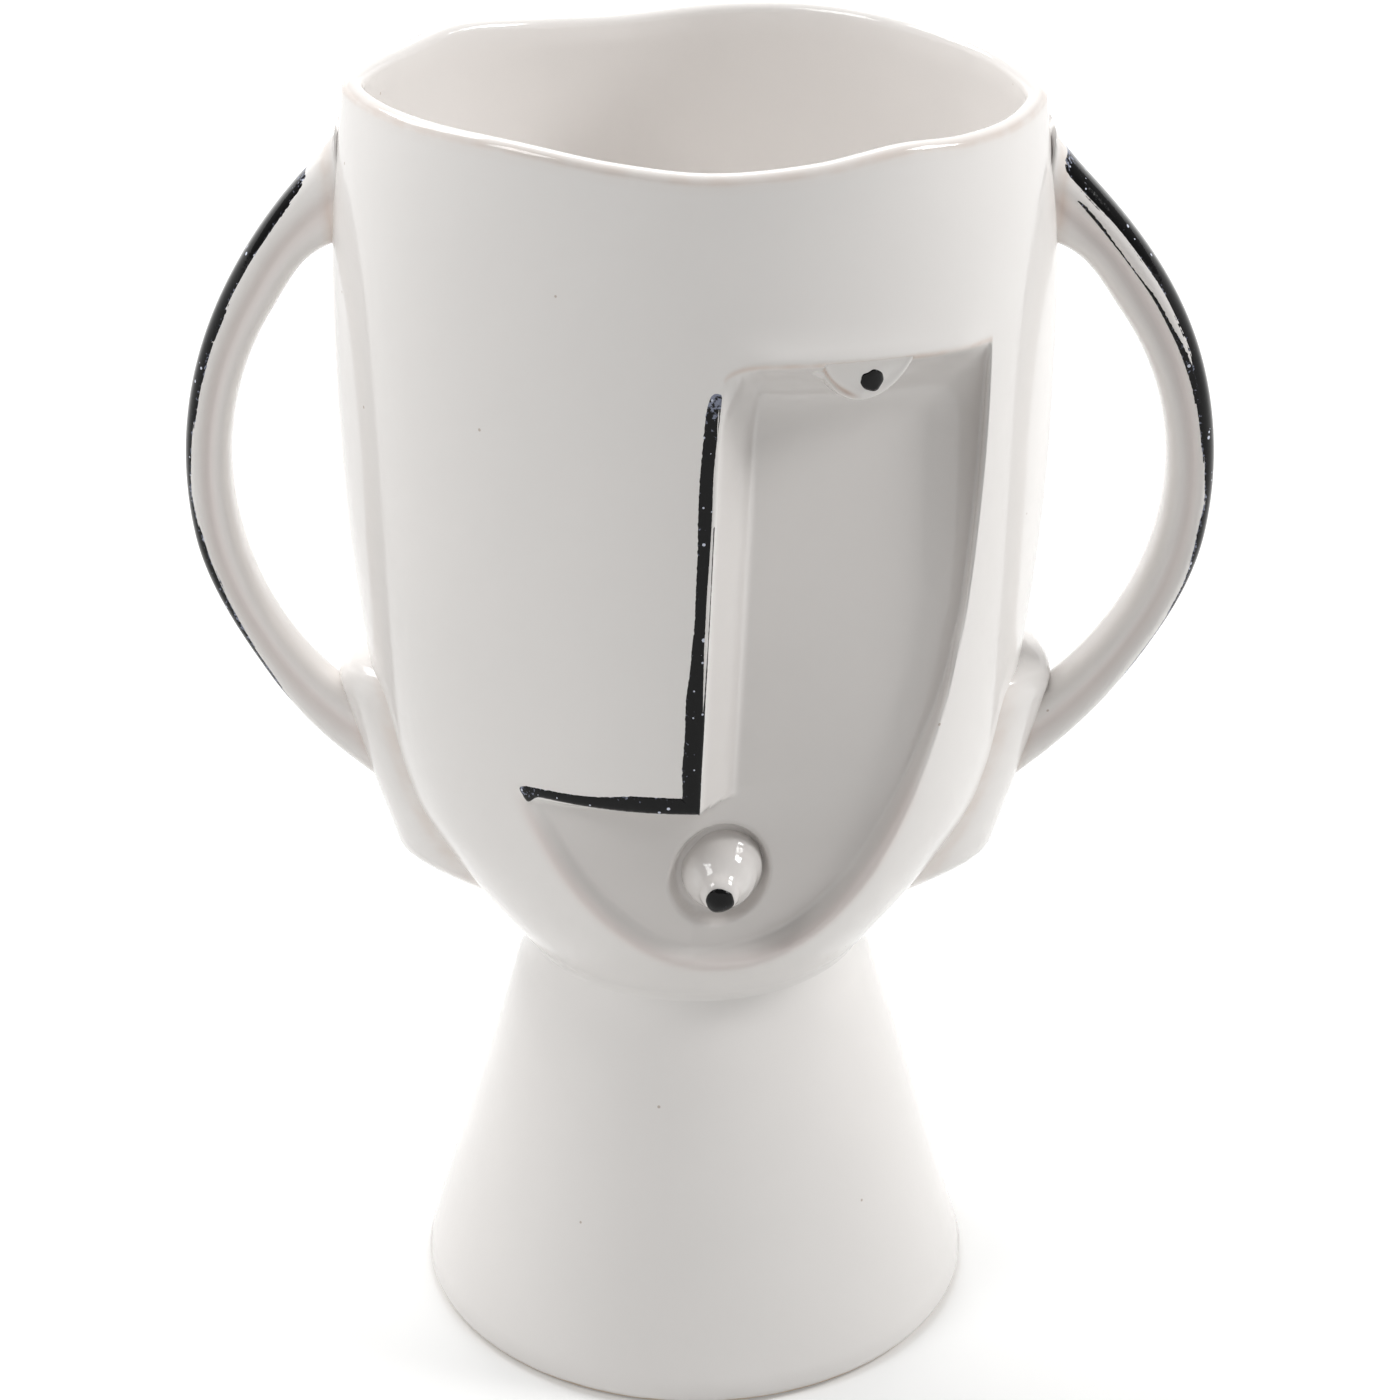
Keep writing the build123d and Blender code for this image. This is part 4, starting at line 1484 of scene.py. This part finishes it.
def lay_stray_line(bm, crust_layer):
    """Lays the thin line beside the right stripe."""
    for vert, along, across in stripe_grid(bm, STRAY_COLUMNS):
        up = STRAY_ENDS[0] + (STRAY_ENDS[1] - STRAY_ENDS[0]) * along
        bend = bend_at("right", up)
        edge = smooth_through(STRAY_EDGE, up) + ragged(bend * HANDLE_OUTER_RADIUS, 3.0, 0.12)
        width = smooth_through(STRAY_WIDTH, up) * sqrt(clamp((1 - along) / 0.03))
        width = max(width + ragged(bend * HANDLE_OUTER_RADIUS, 4.0, 0.25), THINNEST_LINE)
        dome = 1 - abs(2 * across - 1) ** 4
        vert[crust_layer] = STRAY_CRUST
        vert.co = paint_point(bend, lap_angle(bend, edge - width * across), STRAY_HEIGHT * dome)


for side_name, side in SIDES:
    stripe = bmesh.new()
    stripe_crust = stripe.verts.layers.float.new(CRUST)
    lay_band(stripe, stripe_crust, side_name, side)
    if side_name == "right":
        lay_stray_line(stripe, stripe_crust)
    sink_back(stripe)
    place_on_side(stripe, side)
    make_piece(stripe, "handle_stripe_" + side_name, enamel)

# %% [markdown]
# ## The floor
# A studio shot on white: the floor runs up into a white cove all round. The paint is a pale grey that keeps
# the vase's soft shadow. For the camera and for reflections it is topped up to white, more where the lamps
# don't reach, without more light on the vase.

# %% Floor
COVE_RADIUS = 3.0
COVE_HEIGHT = 0.9
COVE_BEND = 0.8
BEND_STEPS = 8
COVE_STEPS = 64

# Distance from the vase in metres and strength of the top-up there, near and far
TOP_UP_PLACES = (0.3, 1.6)
TOP_UP_STRENGTHS = (0.22, 0.78)


def cove_profile():
    """Points (radius, height) from the middle of the floor, round a quarter bend and up."""
    points = [(0.0, 0.0)]
    for i in range(BEND_STEPS + 1):
        angle = pi / 2 * i / BEND_STEPS
        points.append((COVE_RADIUS - COVE_BEND * (1 - sin(angle)), COVE_BEND * (1 - cos(angle))))
    return points + [(COVE_RADIUS, COVE_HEIGHT)]


def cove_paint():
    """Matt white paint, topped up to white for the camera and for reflections."""
    paint, tree, place = new_finish("matt_white_paint")
    tree.nodes.remove(tree.nodes["Principled BSDF"])
    matt = add_node(tree, "ShaderNodeBsdfDiffuse", {"Color": linear("#DDDDDC")})
    rays = add_node(tree, "ShaderNodeLightPath").outputs
    seen = reckoned(tree, "MAXIMUM", rays["Is Camera Ray"], rays["Is Transmission Ray"])
    seen = reckoned(tree, "MAXIMUM", seen, rays["Is Glossy Ray"])
    away = add_node(tree, "ShaderNodeVectorMath", {0: place}, operation="LENGTH").outputs["Value"]
    strength = reckoned(tree, "MULTIPLY", seen, mapped(tree, away, *TOP_UP_PLACES, *TOP_UP_STRENGTHS))
    glow = add_node(tree, "ShaderNodeEmission", {"Strength": strength})
    both = add_node(tree, "ShaderNodeAddShader", {0: matt.outputs["BSDF"], 1: glow.outputs["Emission"]})
    tree.links.new(both.outputs["Shader"], tree.nodes["Material Output"].inputs["Surface"])
    return paint


cove_mesh = bmesh.new()
spin_ring(cove_mesh, cove_profile(), COVE_STEPS, closed=False)
bmesh.ops.remove_doubles(cove_mesh, verts=cove_mesh.verts, dist=0.0005)
for face in cove_mesh.faces:
    face.smooth = True
cove = bpy.data.objects.new("studio_cove", bpy.data.meshes.new("studio_cove"))
cove_mesh.to_mesh(cove.data)
cove_mesh.free()
cove.data.materials.append(cove_paint())
bpy.context.scene.collection.objects.link(cove)
print("cove", cove.name)

# %% [markdown]
# ## The light
# Four softboxes stand at the sides and behind, so that the sides are bright and the front is a shade darker,
# which shows the relief. An even, dim room fills the shadows. Each box is placed by its turn from the front
# and its angle above the level, as a photographer would say it.

# %% Light
ROOM_STRENGTH = 0.32
AIM = Vector((0.0, 0.0, 0.17))

# Name, turn from the front and height angle in degrees, distance and size in metres, power in watts
SOFTBOXES = (
    ("softbox_right", 92.0, 36.0, 1.2, 0.35, 7.8),
    ("softbox_left", -60.0, 45.0, 1.2, 0.4, 3.9),
    ("softbox_back_left", -125.0, 45.0, 1.2, 0.5, 6.3),
    ("softbox_back", 180.0, 50.0, 1.3, 0.7, 7.5),
)
for name, turn, up, far, size, power in SOFTBOXES:
    lamp = bpy.data.lights.new(name, "AREA")
    lamp.shape = "SQUARE"
    lamp.size = size
    lamp.energy = power
    holder = bpy.data.objects.new(name, lamp)
    level = far * cos(radians(up))
    across = level * sin(radians(turn))
    forward = -level * cos(radians(turn))
    holder.location = AIM + Vector((across, forward, far * sin(radians(up))))
    holder.rotation_euler = (AIM - holder.location).to_track_quat("-Z", "Y").to_euler()
    bpy.context.scene.collection.objects.link(holder)

world = bpy.data.worlds.new("dim_room")
bpy.context.scene.world = world
world.use_nodes = True
sky = world.node_tree.nodes["Background"]
sky.inputs["Color"].default_value = (1.0, 1.0, 1.0, 1.0)
sky.inputs["Strength"].default_value = ROOM_STRENGTH

# %% [markdown]
# ## The camera
# The camera looks down on the vase from a little above the lip. Its place and focal length were fitted to the
# foot's ellipse, the rim and the cone, in pixels of the photo, and are turned into a lens here.

# %% Camera
CAMERA_PLACE = (0.0, -0.697, 0.500)
CAMERA_PITCH = radians(26.42)
IMAGE_PIXELS = 1400
FOCAL_PIXELS = 3320
AXIS_OFF_CENTRE = 5
lens = bpy.data.cameras.new("camera")
lens.sensor_width = 36.0
lens.lens = FOCAL_PIXELS / IMAGE_PIXELS * lens.sensor_width
lens.shift_x = AXIS_OFF_CENTRE / IMAGE_PIXELS
viewer = bpy.data.objects.new("camera", lens)
viewer.location = CAMERA_PLACE
viewer.rotation_euler = (pi / 2 - CAMERA_PITCH, 0.0, 0.0)
bpy.context.scene.collection.objects.link(viewer)
bpy.context.scene.camera = viewer
bpy.context.scene.view_settings.view_transform = "Standard"
print("lens", round(lens.lens, 1), "mm, looking down by", round(degrees(CAMERA_PITCH), 1), "degrees")
